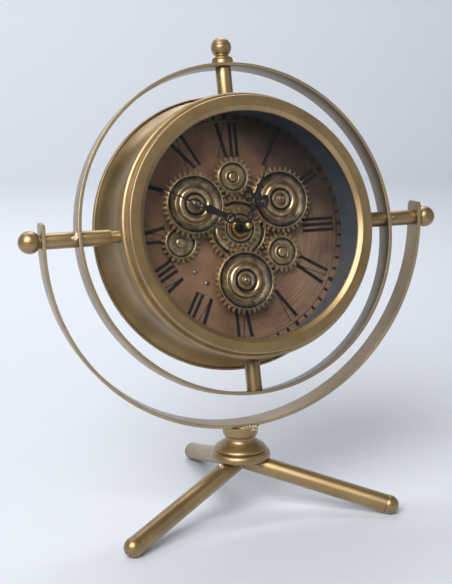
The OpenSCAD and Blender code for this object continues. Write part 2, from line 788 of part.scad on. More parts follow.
module long_post(p) {
    at_axis(p, dial_back) {
        cylinder(r = post_r, h = post_tip - 0.6 - dial_back);
        translate([0, 0, post_tip - 0.6 - dial_back])
            cylinder(r1 = post_r, r2 = post_r - 0.5, h = 0.6);
        translate([0, 0, -1.2]) cylinder(r = post_r + 1.5, h = 1.2);
    }
}

module long_posts() {
    color(steel) facing() {
        long_post(left_axis);
        long_post(right_axis);
        long_post(bottom_axis);
    }
}

module short_post(p) {
    head = gear_t + 1.8;
    at_axis(p, -middle_level + small_web + face_gap) rotate_extrude()
        polygon(concat([[0, 0], [small_boss, 0]],
            [for (i = [0:6]) let (a = 90 * i / 6)
                [small_boss - 1.6 + 1.6 * cos(a), 0.6 + 1.4 * sin(a)]],
            [[0, 2]]));
    at_axis(p, dial_back) cylinder(r = post_r, h = head + small_web - middle_level - dial_back - 1);
    at_axis(p, dial_back - 1.2) cylinder(r = post_r + 1.5, h = 1.2);
}

module short_posts() {
    color(brass) facing() {
        short_post(top_small_axis);
        short_post(right_small_axis);
    }
}

// The toothed rim of a gear: teeth outside, open inside r_in
module toothed_rim(n, root, tip, phase, r_in, t) {
    linear_extrude(t) difference() {
        polygon(teeth_pts(n, root, tip, phase));
        circle(r = r_in);
    }
}

// Turned body of a large gear: lip, channel, step ring, round ring, groove and hub disc
module big_gear_body() {
    bore = post_r + run_fit;
    back = dial_front - front_level + face_gap;
    step_out = step_r + step_w / 2;
    step_in = step_r - step_w / 2;
    floor_h = 2 * face_t;
    channel_r = big_lip_r - 1.5 * lip_w;
    rotate_extrude() polygon(concat(
        [[bore, back], [sleeve_r, back], [sleeve_r, -0.3], [sleeve_r + 0.6, 0.3],
         [sleeve_r + 0.8, face_t + 0.4], [disc_r + 1, face_t]],
        [for (i = [0:4]) let (a = 180 * i / 4)
            [round_r - (round_w / 2 - 1) * cos(a), face_t + 0.6 + face_t * sin(a)]],
        [[round_r + round_w / 2 - 0.7, 0.6], [step_in + 0.5, 0.2], [step_r, 0], [big_lip_r, 0],
         [big_lip_r, big_lip_h - 0.4], [big_lip_r - 0.2, big_lip_h], [big_lip_r - lip_w, big_lip_h]],
        [for (i = [0:8]) let (s = i / 8)
            [channel_r - (channel_r - step_out - 0.4) * s,
             big_lip_h - 1.2 - (face_t + 0.2) * s - (face_t + 0.5) * sin(180 * s)]],
        [[step_out, floor_h], [step_r + 0.1, floor_h + 0.2], [step_r - 0.1, floor_h - 0.2],
         [step_in + 0.5, floor_h - 0.2], [step_in + 0.3, floor_h + 0.2], [step_in, floor_h + 0.2]],
        [for (i = [0:8]) let (a = 20 + 140 * i / 8)
            [round_r + round_w / 2 * cos(a), floor_h - 0.1 + (round_h - floor_h + 0.1) * sin(a)]],
        [[disc_r + 1.6, floor_h], [disc_r + 0.2, floor_h], [disc_r, big_lip_h - 0.4],
         [disc_r - 0.4, big_lip_h], [cone_r, big_lip_h], [cone_r - 0.9, cone_h - 0.2],
         [bore, cone_h]]));
}

module big_gear(p, phase, hole) {
    at_axis(p, front_level) difference() {
        union() {
            toothed_rim(big_teeth, big_root, big_tip, phase, big_lip_r - 1.4, gear_t);
            big_gear_body();
        }
        rotate([0, 0, hole]) translate([big_hole_at, 0, -1])
            cylinder(r = 1.1, h = big_lip_h + 2, $fn = 24);
    }
}

module gear_left() {
    color(brass) facing()
        big_gear(left_axis, mesh_phase(180 - gear_start, 0, small_teeth, big_teeth),
            web_holes[0]);
}

module gear_right() {
    color(brass) facing()
        big_gear(right_axis, mesh_phase(gear_start, 0, small_teeth, big_teeth), web_holes[1]);
}

module gear_bottom() {
    color(brass) facing()
        big_gear(bottom_axis, mesh_phase(270, 0, small_teeth, big_teeth), web_holes[2]);
}

// A small gear's web and lip, open at r_bore; heights from the gear's back
module small_gear_body(r_bore, back) {
    rotate_extrude() polygon([
        [r_bore, back], [r_bore + 1.4, back], [r_bore + 1.4, 0], [small_lip_r, 0],
        [small_lip_r, small_lip_h - 0.4], [small_lip_r - 0.3, small_lip_h],
        [small_lip_r - 0.9, small_lip_h], [small_lip_r - 1.3, small_lip_h - 0.4],
        [small_lip_r - 1.6, small_web + 0.3], [small_lip_r - 2.1, small_web],
        [r_bore, small_web]]);
}

module small_gear(p, level, phase, r_bore, back) {
    at_axis(p, -level) difference() {
        union() {
            toothed_rim(small_teeth, small_root, small_tip, phase, small_lip_r - 1.1, gear_t);
            small_gear_body(r_bore, back);
        }
        rotate([0, 0, phase + 160]) translate([small_hole_at, 0, -1])
            cylinder(r = 1, h = small_lip_h + 2, $fn = 24);
    }
}

module small_gear_top() {
    color(brass) facing() small_gear(top_small_axis, middle_level,
        mesh_phase(90, 0, big_teeth, small_teeth), post_r + run_fit,
        middle_level + dial_front + face_gap);
}

module small_gear_right() {
    color(brass) facing() small_gear(right_small_axis, middle_level,
        mesh_phase(-gear_start, 0, big_teeth, small_teeth), post_r + run_fit,
        middle_level + dial_front + face_gap);
}

module left_pinion() {
    color(brass) facing() small_gear(left_axis, rear_level, 0, sleeve_r + seat_fit,
        rear_level + dial_front + face_gap);
}

module drive_gear() {
    phase = mesh_phase(drive_angle, 0, small_teeth, small_teeth);
    color(brass) facing() {
        small_gear(drive_axis, rear_level, phase, post_r + run_fit,
            rear_level + dial_front + face_gap);
        at_axis(drive_axis, -rear_level) difference() {
            rotate_extrude() polygon(concat([[0, 0.2], [small_boss, 0.2]],
                [for (i = [0:6]) let (a = 90 * i / 6)
                    [small_boss - 1.2 + 1.2 * cos(a), small_web + 0.9 + sin(a)]],
                [[0, small_web + 1.9]]));
            cylinder(r = post_r + run_fit, h = small_web + 1.3);
        }
    }
}

module centre_wheel() {
    bore = bush_r + run_fit;
    back = middle_level + dial_front + face_gap;
    top = front_level + middle_level;
    wheel_boss = bore + 4.5;
    color(brass) facing() translate([0, 0, -middle_level]) {
        toothed_rim(big_teeth, big_root, big_tip, 0, big_lip_r - 1.4, gear_t);
        rotate_extrude() polygon([
            [bore, back], [bore + 1.6, back], [bore + 1.6, 0], [big_lip_r, 0],
            [big_lip_r, wheel_lip_h - 0.4], [big_lip_r - 0.3, wheel_lip_h - 0.1],
            [big_lip_r - lip_w, wheel_lip_h - 0.1], [big_lip_r - 1.5 * lip_w, wheel_lip_h - 0.5],
            [big_lip_r - 2 * lip_w, 1.3], [plateau_r + 0.7, 1.3], [plateau_r, wheel_lip_h - 0.7],
            [plateau_r - 0.6, wheel_lip_h - 0.2], [plateau_r - 1.4, wheel_lip_h],
            [wheel_boss, wheel_lip_h], [wheel_boss, top], [bore, top]]);
        for (a = [90:120:330], d = [-5, 5]) rotate([0, 0, a + d])
            translate([rivet_at, 0, wheel_lip_h - 0.1])
                cylinder(r1 = 1, r2 = 0.6, h = 0.6, $fn = 24);
    }
}

module centre_pinion() {
    bore = bush_r + run_fit;
    color(brass) facing() translate([0, 0, front_level]) {
        toothed_rim(small_teeth, small_root, small_tip, 0, small_lip_r - 0.3, gear_t);
        rotate_extrude() polygon([
            [bore, 0], [small_lip_r, 0], [small_lip_r, gear_t + 0.3],
            [small_lip_r - 0.6, gear_t + 0.3], [small_lip_r - 1, gear_t - 0.5],
            [small_lip_r - 2, gear_t - 0.5], [small_lip_r - 2.4, gear_t], [bore, gear_t]]);
    }
}

// Flat outline of a strap between two points with its own half widths
module taper(p, q, a, b) {
    polygon([[-a, p], [a, p], [b, q], [-b, q]]);
}

module ring2d(x, y, r, w) {
    translate([x, y]) difference() {
        circle(r = r, $fn = 40);
        circle(r = r - w, $fn = 40);
    }
}

// Pointed oval loop from y = a to b, half width w, strap width t
module eye2d(a, b, w, t) {
    m = (a + b) / 2;
    n = 12;
    function side(k, h, v) = [for (i = [0:n]) let (s = -1 + 2 * i / n) [k * h * cos(90 * s), m + v * s]];
    difference() {
        polygon(concat(side(1, w, m - a), [for (i = [n:-1:0]) side(-1, w, m - a)[i]]));
        polygon(concat(side(1, w - t, m - a - 1.4 * t),
                       [for (i = [n:-1:0]) side(-1, w - t, m - a - 1.4 * t)[i]]));
    }
}

// Ring, crescent and two beads on one side of the hour hand
module hour_scroll() {
    ring2d(7.2, 23.6, 4.2, 1.6);
    polygon([[3.6, 26.4], [7.4, 27.2], [9.8, 26.2], [11.6, 24.2], [10.6, 28.4], [8.2, 31.2], [5, 29.4]]);
    translate([6.7, 22.1]) circle(r = 1.35, $fn = 24);
    translate([5.5, 21.9]) circle(r = 1.3, $fn = 24);
}

module hour_outline() {
    difference() {
        circle(r = hand_hub_r);
        circle(r = pipe_r + seat_fit);
    }
    eye2d(3.6, 14.6, 3, 1.5);
    difference() {
        polygon([[-1.2, 13], [1.2, 13], [3.4, 16.4], [2.6, 17.4], [4.2, 21.5], [4.8, 27],
                 [1.2, 31], [-1.2, 31], [-4.8, 27], [-4.2, 21.5], [-2.6, 17.4], [-3.4, 16.4]]);
        translate([0, 17.2]) circle(r = 0.8, $fn = 24);
        for (k = [-1, 1])
            polygon([[k * 0.5, 19.4], [k * 3, 20], [k * 3, 22.4], [k * 1.9, 24], [k * 0.9, 22]]);
        polygon([[0, 23.8], [1, 26.4], [0, 29], [-1, 26.4]]);
    }
    hour_scroll();
    mirror([1, 0]) hour_scroll();
    taper(30, 36, 1.2, 1);
    polygon([[-3.3, 34.8], [-1, 34.4], [1, 34.4], [3.3, 34.8], [3.4, 36.6], [1.3, 37.6],
             [-1.3, 37.6], [-3.4, 36.6]]);
    polygon([[-1.3, 37], [1.3, 37], [1.3, 41], [0.6, 46], [0.25, hour_len], [-0.25, hour_len],
             [-0.6, 46], [-1.3, 41]]);
}

module minute_outline() {
    difference() {
        circle(r = hand_hub_r);
        circle(r = arbor_r + 0.3);
    }
    taper(4, 12.5, 1.7, 1.6);
    ring2d(0, 16.6, 4.8, 1.7);
    intersection() {
        ring2d(-0.8, 13.6, 4.6, 1);
        translate([0, 16.6]) circle(r = 4, $fn = 40);
    }
    polygon([[-2, 20.4], [2, 20.4], [2.6, 23], [2.5, 27], [2.9, 31], [3.9, 35.2], [3.9, 37.2],
             [2.4, 38.4], [1.4, 40.4], [-1.4, 40.4], [-2.4, 38.4], [-3.9, 37.2], [-3.9, 35.2],
             [-2.9, 31], [-2.5, 27], [-2.6, 23]]);
    eye2d(39.4, 55.4, 3.3, 1.3);
    polygon([[0, 52.6], [1.3, 56.2], [0, 60], [-1.3, 56.2]]);
    taper(57, minute_len, 0.7, 0.25);
}

module hour_hand() {
    color(black) facing() translate([0, 0, hour_level]) rotate([0, 0, -hour_angle])
        linear_extrude(hand_t) hour_outline();
}

module hour_pipe() {
    color(black) facing() difference() {
        union() {
            translate([0, 0, dial_back - 1.5])
                cylinder(r = pipe_r, h = hour_level + hand_t - dial_back + 1.5);
            translate([0, 0, hour_level - 6.3]) cylinder(r = hand_hub_r + 0.4, h = 1.2);
            translate([0, 0, hour_level - 5.2]) cylinder(r = pipe_r + 0.9, h = 5.2);
        }
        translate([0, 0, dial_back - 2])
            cylinder(r = arbor_r + run_fit, h = hour_level + hand_t - dial_back + 3);
    }
}

module minute_hand() {
    color(black) facing() translate([0, 0, minute_level]) rotate([0, 0, -minute_angle])
        linear_extrude(hand_t) minute_outline();
}

module minute_arbor() {
    color(brass) facing() {
        translate([0, 0, dial_back - 8.7]) cylinder(r = arbor_r, h = minute_top + 0.8 - dial_back + 8.7);
        translate([0, 0, hour_level + hand_t + face_gap])
            cylinder(r = arbor_r + 1.1, h = hand_gap - face_gap);
    }
}

module hand_cap() {
    color([0.62, 0.56, 0.25]) facing() translate([0, 0, minute_top]) difference() {
        rotate_extrude() polygon(concat([[0, 0], [cap_r, 0]],
            [for (i = [0:9]) let (a = 90 * i / 9) [cap_r * cos(a), 0.6 + 2.8 * sin(a)]]));
        translate([0, 0, -1]) cylinder(r = arbor_r + seat_fit, h = 2);
    }
}

base_hub();
leg(0);  // leg_left
leg(1);  // leg_right
leg(2);  // leg_rear
foot_cap(0);  // foot_cap_left
foot_cap(1);  // foot_cap_right
foot_cap(2);  // foot_cap_rear
yoke();
gimbal_ring();
finial();
inner_spoke(90);  // top_post
inner_spoke(-90);  // bottom_post
bottom_nut();
post_studs();
stud(180, yoke_r + ball_stand + 1);  // pivot_stud_left
stud(0, yoke_r + ball_stand + 1);  // pivot_stud_right
ball_knob(180);  // ball_knob_left
ball_knob(0);  // ball_knob_right
outer_spoke(180);  // outer_spacer_left
outer_spoke(0);  // outer_spacer_right
inner_spoke(180);  // inner_spacer_left
inner_spoke(0);  // inner_spacer_right
case_drum();
bezel();
glass();
dial_liner();
dial_plate();
dial_screws();
back_cover();
back_screws();
clock_movement();
movement_nut();
movement_cell();
setting_knob();
gear_motor();
motor_cell();
motor_switch();
long_posts();
short_posts();
centre_wheel();
centre_pinion();
gear_left();
left_pinion();
gear_right();
gear_bottom();
small_gear_top();
small_gear_right();
drive_gear();
hour_hand();
hour_pipe();
minute_hand();
minute_arbor();
hand_cap();
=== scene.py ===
"""Looks of a gear clock that turns in a hoop on a tripod stand, dressed around its solids.

The solids give the sizes, and the classes add the small ones that a solid leaves out. Whatever
leans with the dial is written in the dial's own place: across to the right, up the dial and along
to the front, from the middle of the hoop's axle. Sizes are in millimetres and angles in degrees
unless a line says otherwise. In a name _r is a radius, _h a height, _w a width and _d a depth.
"""
import json
import logging
import math
from collections.abc import Iterable
from dataclasses import dataclass
from enum import Enum

import bmesh
import bpy
import numpy as np
from mathutils import Matrix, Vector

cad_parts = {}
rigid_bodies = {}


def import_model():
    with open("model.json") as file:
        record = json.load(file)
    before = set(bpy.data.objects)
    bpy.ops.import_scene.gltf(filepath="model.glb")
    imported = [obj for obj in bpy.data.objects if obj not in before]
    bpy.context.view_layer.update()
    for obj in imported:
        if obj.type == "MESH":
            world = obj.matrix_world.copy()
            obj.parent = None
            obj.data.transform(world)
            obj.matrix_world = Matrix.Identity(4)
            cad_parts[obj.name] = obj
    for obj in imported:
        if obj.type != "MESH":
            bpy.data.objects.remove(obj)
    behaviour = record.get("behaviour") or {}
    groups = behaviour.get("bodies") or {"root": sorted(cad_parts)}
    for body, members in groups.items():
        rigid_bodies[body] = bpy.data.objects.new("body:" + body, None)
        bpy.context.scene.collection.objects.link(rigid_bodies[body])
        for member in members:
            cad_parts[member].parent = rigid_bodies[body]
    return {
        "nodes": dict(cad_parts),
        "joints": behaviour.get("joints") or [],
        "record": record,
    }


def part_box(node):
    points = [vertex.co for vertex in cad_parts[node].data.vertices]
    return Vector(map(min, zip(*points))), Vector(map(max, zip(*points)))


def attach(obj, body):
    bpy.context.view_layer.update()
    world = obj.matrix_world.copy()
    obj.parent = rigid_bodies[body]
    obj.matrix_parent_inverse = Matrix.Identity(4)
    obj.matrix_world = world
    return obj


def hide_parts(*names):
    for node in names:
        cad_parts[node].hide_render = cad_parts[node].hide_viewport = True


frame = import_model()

MM = 0.001
Corners = list[list[float]]
LOG = logging.getLogger("gear_clock")
# main fills this with one material for each slot.
PAINTS: dict["Slot", bpy.types.Material] = {}


class Slot(Enum):
    """The record's material slots."""

    GOLD = "gold_paint"
    BRASS = "gear_brass"
    STEEL = "steel"
    NUT = "nut_brass"
    CAP = "cap_brass"
    HAND = "hand_black"
    GLASS = "clear_glass"
    LINER = "liner_dark"
    DIAL = "dial_copper"
    BACK = "back_grey"
    BLACK = "black_plastic"
    WHITE = "white_plastic"
    CELL = "cell_jacket"


@dataclass(frozen=True)
class Shade:
    """A colour as the eye reads it off a screen, 0 to 255 a channel."""

    red: float
    green: float
    blue: float

    def linear(self) -> tuple[float, float, float, float]:
        """Changes the colour into what a shader takes.

        A channel c becomes ((c + 0.055) / 1.055) ** 2.4, or c / 12.92 where it is very small.

        Returns:
            Red, green, blue and 1.
        """
        channels = np.array([self.red, self.green, self.blue]) / 255
        low, high = channels / 12.92, ((channels + 0.055) / 1.055) ** 2.4
        return (*np.where(channels <= 0.04045, low, high).tolist(), 1.0)


class Graph:
    """The node tree of one material, with a short method for each kind of node it uses."""

    def __init__(self, name: str) -> None:
        """Starts a material with a Principled shader joined to its output.

        Args:
            name: The material's name.
        """
        self.material = bpy.data.materials.new(name)
        self.material.use_nodes = True
        self.tree = self.material.node_tree
        self.tree.nodes.clear()
        self.output = self.add("ShaderNodeOutputMaterial")
        self.shader = self.add("ShaderNodeBsdfPrincipled")
        self.join(self.shader.outputs["BSDF"], self.output.inputs["Surface"])
        self.place = self.add("ShaderNodeTexCoord").outputs["Object"]

    def add(self, kind: str, **settings: object) -> bpy.types.Node:
        """Adds a node.

        Args:
            kind: The node's type.
            **settings: Its properties, by name.

        Returns:
            The new node.
        """
        node = self.tree.nodes.new(kind)
        for key, value in settings.items():
            setattr(node, key, value)
        return node

    def join(self, source: bpy.types.NodeSocket, target: bpy.types.NodeSocket) -> None:
        """Joins one socket to another."""
        self.tree.links.new(source, target)

    def give(self, target: bpy.types.NodeSocket, value: object) -> None:
        """Gives a socket its value.

        Args:
            target: The socket.
            value: A socket to join it to, or its number or colour.
        """
        if isinstance(value, bpy.types.NodeSocket):
            self.join(value, target)
        else:
            target.default_value = value

    def set(self, node: bpy.types.Node, **values: object) -> bpy.types.Node:
        """Gives a node its inputs.

        Args:
            node: The node.
            **values: What each input takes, named with underscores for spaces.

        Returns:
            The node itself.
        """
        for key, value in values.items():
            self.give(node.inputs[key.replace("_", " ")], value)
        return node

    def patina(self) -> bpy.types.NodeSocket:
        """The patina value that a piece carries on its points."""
        return self.add("ShaderNodeAttribute", attribute_name="patina").outputs["Fac"]

    def math(self, operation: str, *values: object) -> bpy.types.NodeSocket:
        """Takes one arithmetic step.

        Args:
            operation: The step, such as ADD.
            *values: Numbers or sockets.

        Returns:
            The result.
        """
        node = self.add("ShaderNodeMath", operation=operation)
        for index, value in enumerate(values):
            self.give(node.inputs[index], value)
        return node.outputs[0]

    def total(self, x: object, y: object, across: object, up: object) -> bpy.types.NodeSocket:
        """The sum of x times across and y times up."""
        return self.math("ADD", self.math("MULTIPLY", x, across), self.math("MULTIPLY", y, up))

    def moved(self, where: bpy.types.NodeSocket, shift: tuple[float, float, float],
              turn: tuple[float, float, float]) -> bpy.types.NodeSocket:
        """Turns coordinates, then moves them.

        Args:
            where: The coordinates.
            shift: How far they move, in metres.
            turn: How they turn about x, y and z, in radians.

        Returns:
            The new coordinates.
        """
        node = self.add("ShaderNodeMapping")
        return self.set(node, Vector=where, Location=shift, Rotation=turn).outputs["Vector"]

    def noise(self, where: bpy.types.NodeSocket, scale: float, detail: float,
              roughness: float) -> bpy.types.NodeSocket:
        """Makes cloudy noise.

        Args:
            where: The coordinates.
            scale: The number of clouds in a metre.
            detail: How many finer layers lie over the first.
            roughness: How strong each layer is against the one before.

        Returns:
            A number from 0 to 1.
        """
        node = self.set(self.add("ShaderNodeTexNoise"), Vector=where, Scale=scale, Detail=detail,
                        Roughness=roughness)
        return node.outputs["Fac"]

    def spread(self, value: bpy.types.NodeSocket, low: float, high: float,
               start: float = 0.0, end: float = 1.0, smooth: bool = False) -> bpy.types.NodeSocket:
        """Carries one range of a number onto another, and stops at both ends.

        Args:
            value: The number.
            low: Where its range begins.
            high: Where its range ends.
            start: What it becomes at low.
            end: What it becomes at high.
            smooth: Whether it eases in and out.

        Returns:
            The new number.
        """
        node = self.add("ShaderNodeMapRange",
                        interpolation_type="SMOOTHSTEP" if smooth else "LINEAR")
        self.set(node, Value=value, From_Min=low, From_Max=high, To_Min=start, To_Max=end)
        return node.outputs["Result"]

    def blend(self, amount: object, first: object, second: object) -> bpy.types.NodeSocket:
        """Mixes two colours.

        Args:
            amount: A number from 0, all the first, to 1, all the second.
            first: A shade or a colour's socket.
            second: Another of them.

        Returns:
            The mixed colour.
        """
        node = self.add("ShaderNodeMix", data_type="RGBA")
        for index, value in ((0, amount), (6, first), (7, second)):
            self.give(node.inputs[index], value.linear() if isinstance(value, Shade) else value)
        return node.outputs[2]

    def bump(self, height: bpy.types.NodeSocket, depth: float,
             strength: float) -> bpy.types.NodeSocket:
        """Tilts the surface's normal by a height.

        Args:
            height: A number from 0 to 1.
            depth: How far 1 stands over 0, in metres.
            strength: The share of the tilt that is used.

        Returns:
            The tilted normal.
        """
        node = self.add("ShaderNodeBump")
        return self.set(node, Strength=strength, Distance=depth, Height=height).outputs["Normal"]


@dataclass(frozen=True)
class GoldPaint:
    """Satin metallic paint in antique gold, a little cloudy, with a fine rolled grain.

    A piece's patina value, from 0 to 1, darkens it towards dark brown: in the hub's groove, in
    a foot's seam and nicks, and as painted shade on the strips' faces, most on their inner face;
    below 0 it says how far the paint is rubbed off the metal.
    """

    light: Shade = Shade(162, 134, 84)
    deep: Shade = Shade(126, 100, 56)
    # Dark brown for grooves and nicks, and for the painted shade on the strips.
    wax_and_shade: Shade = Shade(50, 38, 26)
    bare: Shade = Shade(238, 224, 192)
    clouds: float = 26.0
    grain: float = 900.0

    def material(self) -> bpy.types.Material:
        """Builds the paint.

        Returns:
            The new material.
        """
        g = Graph("antique_gold_paint")
        cloud = g.noise(g.place, self.clouds, 4, 0.6)
        grain = g.noise(g.place, self.grain, 2, 0.6)
        wax_and_shade = g.patina()
        tone = g.blend(g.spread(cloud, 0.3, 0.7), self.deep, self.light)
        tone = g.blend(g.spread(wax_and_shade, 0, -1), tone, self.bare)
        # The dark brown mixes in by the patina value, which on the strips is painted shade.
        g.set(g.shader, Base_Color=g.blend(g.spread(wax_and_shade, 0, 1), tone, self.wax_and_shade), Metallic=0.85,
              Roughness=g.spread(cloud, 0.3, 0.7, 0.46, 0.38), Coat_Weight=0.75, Coat_IOR=1.7,
              Coat_Roughness=0.32, Normal=g.bump(grain, 0.00006, 0.5))
        return g.material


@dataclass(frozen=True)
class AntiqueBrass:
    """Aged brass of the gears: rubbed bright on what stands proud, near black in the hollows.

    Each gear's own patina value, from 0 to 1, says how dark a point is: tarnish in the hollows,
    and painted shade under the gear's lip, in its channel and in its grooves.
    """

    light: Shade = Shade(234, 204, 158)
    warm: Shade = Shade(178, 144, 100)
    # Near black, for tarnish and for painted shade in the hollows.
    dark: Shade = Shade(34, 31, 30)
    clouds: float = 150.0

    def material(self) -> bpy.types.Material:
        """Builds the brass.

        Returns:
            The new material.
        """
        g = Graph("antique_brass")
        cloud = g.noise(g.place, self.clouds, 5, 0.65)
        rubbed = g.blend(g.spread(cloud, 0.35, 0.65), self.warm, self.light)
        # Tarnish and painted shade from each gear's values, with a little noise.
        dirt_and_shade = g.math("ADD", g.patina(), g.spread(cloud, 0.3, 0.7, 0.1, -0.1))
        dirt_and_shade = g.spread(dirt_and_shade, 0.05, 0.9)
        g.set(g.shader, Base_Color=g.blend(dirt_and_shade, rubbed, self.dark),
              Metallic=g.spread(dirt_and_shade, 0, 1, 1, 0.6), Roughness=g.spread(dirt_and_shade, 0, 1, 0.3, 0.5))
        return g.material


@dataclass(frozen=True)
class PlainMetal:
    """A small turned metal part, with faint cloudy wear and dark grime where it has patina."""

    name: str
    light: Shade
    deep: Shade
    roughness: float = 0.3
    grime: Shade = Shade(38, 32, 28)
    clouds: float = 320.0

    def material(self) -> bpy.types.Material:
        """Builds the metal.

        Returns:
            The new material.
        """
        g = Graph(self.name)
        cloud = g.noise(g.place, self.clouds, 3, 0.6)
        tone = g.blend(g.spread(cloud, 0.35, 0.65), self.deep, self.light)
        rough = g.spread(cloud, 0.3, 0.7, self.roughness + 0.08, self.roughness - 0.06)
        g.set(g.shader, Base_Color=g.blend(g.patina(), tone, self.grime), Metallic=1.0,
              Roughness=rough)
        return g.material


@dataclass(frozen=True)
class Coating:
    """A paint or moulded plastic that isn't metallic, with a fine texture."""

    name: str
    light: Shade
    deep: Shade
    roughness: float = 0.5
    grain: float = 900.0
    depth: float = 0.00005
    clouds: float = 45.0

    def material(self) -> bpy.types.Material:
        """Builds the coating.

        Returns:
            The new material.
        """
        g = Graph(self.name)
        cloud = g.noise(g.place, self.clouds, 4, 0.6)
        grain = g.noise(g.place, self.grain, 2, 0.6)
        tone = g.blend(g.spread(cloud, 0.3, 0.7), self.deep, self.light)
        rough = g.spread(cloud, 0.3, 0.7, self.roughness + 0.07, self.roughness - 0.07)
        g.set(g.shader, Base_Color=tone, Roughness=rough, Normal=g.bump(grain, self.depth, 0.5))
        return g.material


@dataclass(frozen=True)
class ClockGlass:
    """Clear glass: it lets light through, and mirrors a share of the room that grows at a slant."""

    index: float = 1.33
    share: float = 0.6
    polish: float = 0.03
    tint: tuple[float, float, float, float] = (0.97, 0.98, 0.98, 1)

    def material(self) -> bpy.types.Material:
        """Builds the glass from a clear shader and a gloss, mixed by a share of Fresnel.

        Returns:
            The new material.
        """
        g = Graph("clock_glass")
        g.tree.nodes.remove(g.shader)
        clear = g.set(g.add("ShaderNodeBsdfTransparent"), Color=self.tint)
        gloss = g.set(g.add("ShaderNodeBsdfGlossy"), Roughness=self.polish)
        fresnel = g.set(g.add("ShaderNodeFresnel"), IOR=self.index)
        mix = g.add("ShaderNodeMixShader")
        parts = (g.math("MULTIPLY", fresnel.outputs[0], self.share), clear.outputs[0],
                 gloss.outputs[0])
        for socket, part in zip(mix.inputs, parts):
            g.join(part, socket)
        g.join(mix.outputs[0], g.output.inputs["Surface"])
        return g.material


@dataclass(frozen=True)
class DialPatinaAndLight:
    """The dial's cloudy copper-brown face with fine circular brushing.

    The brushing is noise over (fine r, cos a / wide, sin a / wide) for the radius r and the angle
    a about the dial's middle, so it has no seam. A painted sheen brightens the brushing more and
    more towards one side, and painted shade, a dark reflection of the glass, thickens towards the
    upper right. Each of the two is a sum of a share of x and of y, spread between two distances in
    metres.
    """

    light: Shade = Shade(184, 140, 108)
    deep: Shade = Shade(122, 88, 64)
    # The next two colours: painted shade, a dark reflection of the glass, and a painted sheen.
    painted_shade: Shade = Shade(40, 35, 33)
    painted_sheen: Shade = Shade(226, 200, 176)
    fine: float = 9.0
    wide: float = 45.0
    # Where the painted sheen falls on the brushing, and how strong it gets.
    sheen_way: tuple[float, float] = (1.0, -0.35)
    sheen_from: tuple[float, float] = (0.0, 0.09)
    sheen_most: float = 0.5
    # Where the painted shade falls, how dark it gets, and how far its edge wavers.
    shade_way: tuple[float, float] = (0.8, 0.66)
    shade_from: tuple[float, float] = (0.018, 0.095)
    shade_most: float = 0.82
    shade_stray: float = 0.018

    def material(self) -> bpy.types.Material:
        """Builds the patina in coordinates that are turned and moved onto the dial.

        Returns:
            The new material.
        """
        g = Graph("dial_copper")
        dial = dial_place()
        lean = math.atan2(dial.turn[2][1], dial.turn[2][2])
        shift = -(dial.turn @ dial.middle)
        flat = g.moved(g.place, tuple(shift.tolist()), (lean, 0, 0))
        split = g.set(g.add("ShaderNodeSeparateXYZ"), Vector=flat)
        x, y = split.outputs["X"], split.outputs["Y"]
        radius = g.math("SQRT", g.total(x, y, x, y))
        round_r = g.math("MULTIPLY", radius, self.wide)
        ring = g.set(g.add("ShaderNodeCombineXYZ"), X=g.math("MULTIPLY", radius, self.fine),
                     Y=g.math("DIVIDE", x, round_r), Z=g.math("DIVIDE", y, round_r))
        brushed = g.spread(g.noise(ring.outputs[0], 110, 4, 0.7), 0.42, 0.72)
        # Painted sheen: the brushing is lit more towards one side.
        where = g.spread(g.total(x, y, *self.sheen_way), *self.sheen_from, smooth=True)
        cloud = g.noise(flat, 22, 5, 0.6)
        tone = g.blend(g.spread(cloud, 0.3, 0.68), self.deep, self.light)
        sheen_streak = g.math("MULTIPLY", g.math("MULTIPLY", brushed, where), self.sheen_most)
        tone = g.blend(sheen_streak, tone, self.painted_sheen)
        # Painted shade towards the upper right, a dark reflection of the glass.
        shade_wobble = g.spread(g.noise(flat, 30, 3, 0.5), 0.3, 0.7, -self.shade_stray, self.shade_stray)
        corner = g.math("ADD", g.total(x, y, *self.shade_way), shade_wobble)
        shade_amount = g.spread(corner, *self.shade_from, 0, self.shade_most, smooth=True)
        g.set(g.shader, Base_Color=g.blend(shade_amount, tone, self.painted_shade), Metallic=0.45,
              Roughness=g.spread(cloud, 0.3, 0.7, 0.5, 0.38), Normal=g.bump(brushed, 0.00003, 0.6))
        return g.material


def carrier(node: str) -> str:
    """The body that carries a solid of the frame."""
    return frame["nodes"][node].parent.name.removeprefix("body:")


def joint(name: str) -> dict:
    """A joint's row in the record."""
    return next(row for row in frame["joints"] if row["name"] == name)


def unit(vectors: np.ndarray) -> np.ndarray:
    """A vector, or each row of an array of them, brought to the length 1."""
    return vectors / np.linalg.norm(vectors, axis=-1, keepdims=True)


@dataclass(frozen=True)
class Place:
    """A spot with three directions of its own: across, up and along.

    Points in a place are in millimetres. Pieces of a turned form lie about its along direction.
    """

    middle: np.ndarray
    turn: np.ndarray

    def outward(self, local: np.ndarray) -> np.ndarray:
        """Carries points of the place into the frame: middle + u across + v up + h along."""
        return self.middle + np.asarray(local, float) * MM @ self.turn

    def inward(self, world: np.ndarray) -> np.ndarray:
        """Carries points of the frame into the place."""
        return (world - self.middle) @ self.turn.T / MM

    def at(self, spot: tuple[float, float, float]) -> "Place":
        """The same directions at another spot of the place."""
        return Place(self.outward(spot), self.turn)

    def radial(self, degrees: float) -> "Place":
        """Turns the place so that along points out from its axis.

        Args:
            degrees: The angle from across at which it points.

        Returns:
            The place about the same middle. Its up is what along was.
        """
        a = math.radians(degrees)
        side = [[-math.sin(a), math.cos(a), 0], [0, 0, 1], [math.cos(a), math.sin(a), 0]]
        return Place(self.middle, np.array(side) @ self.turn)


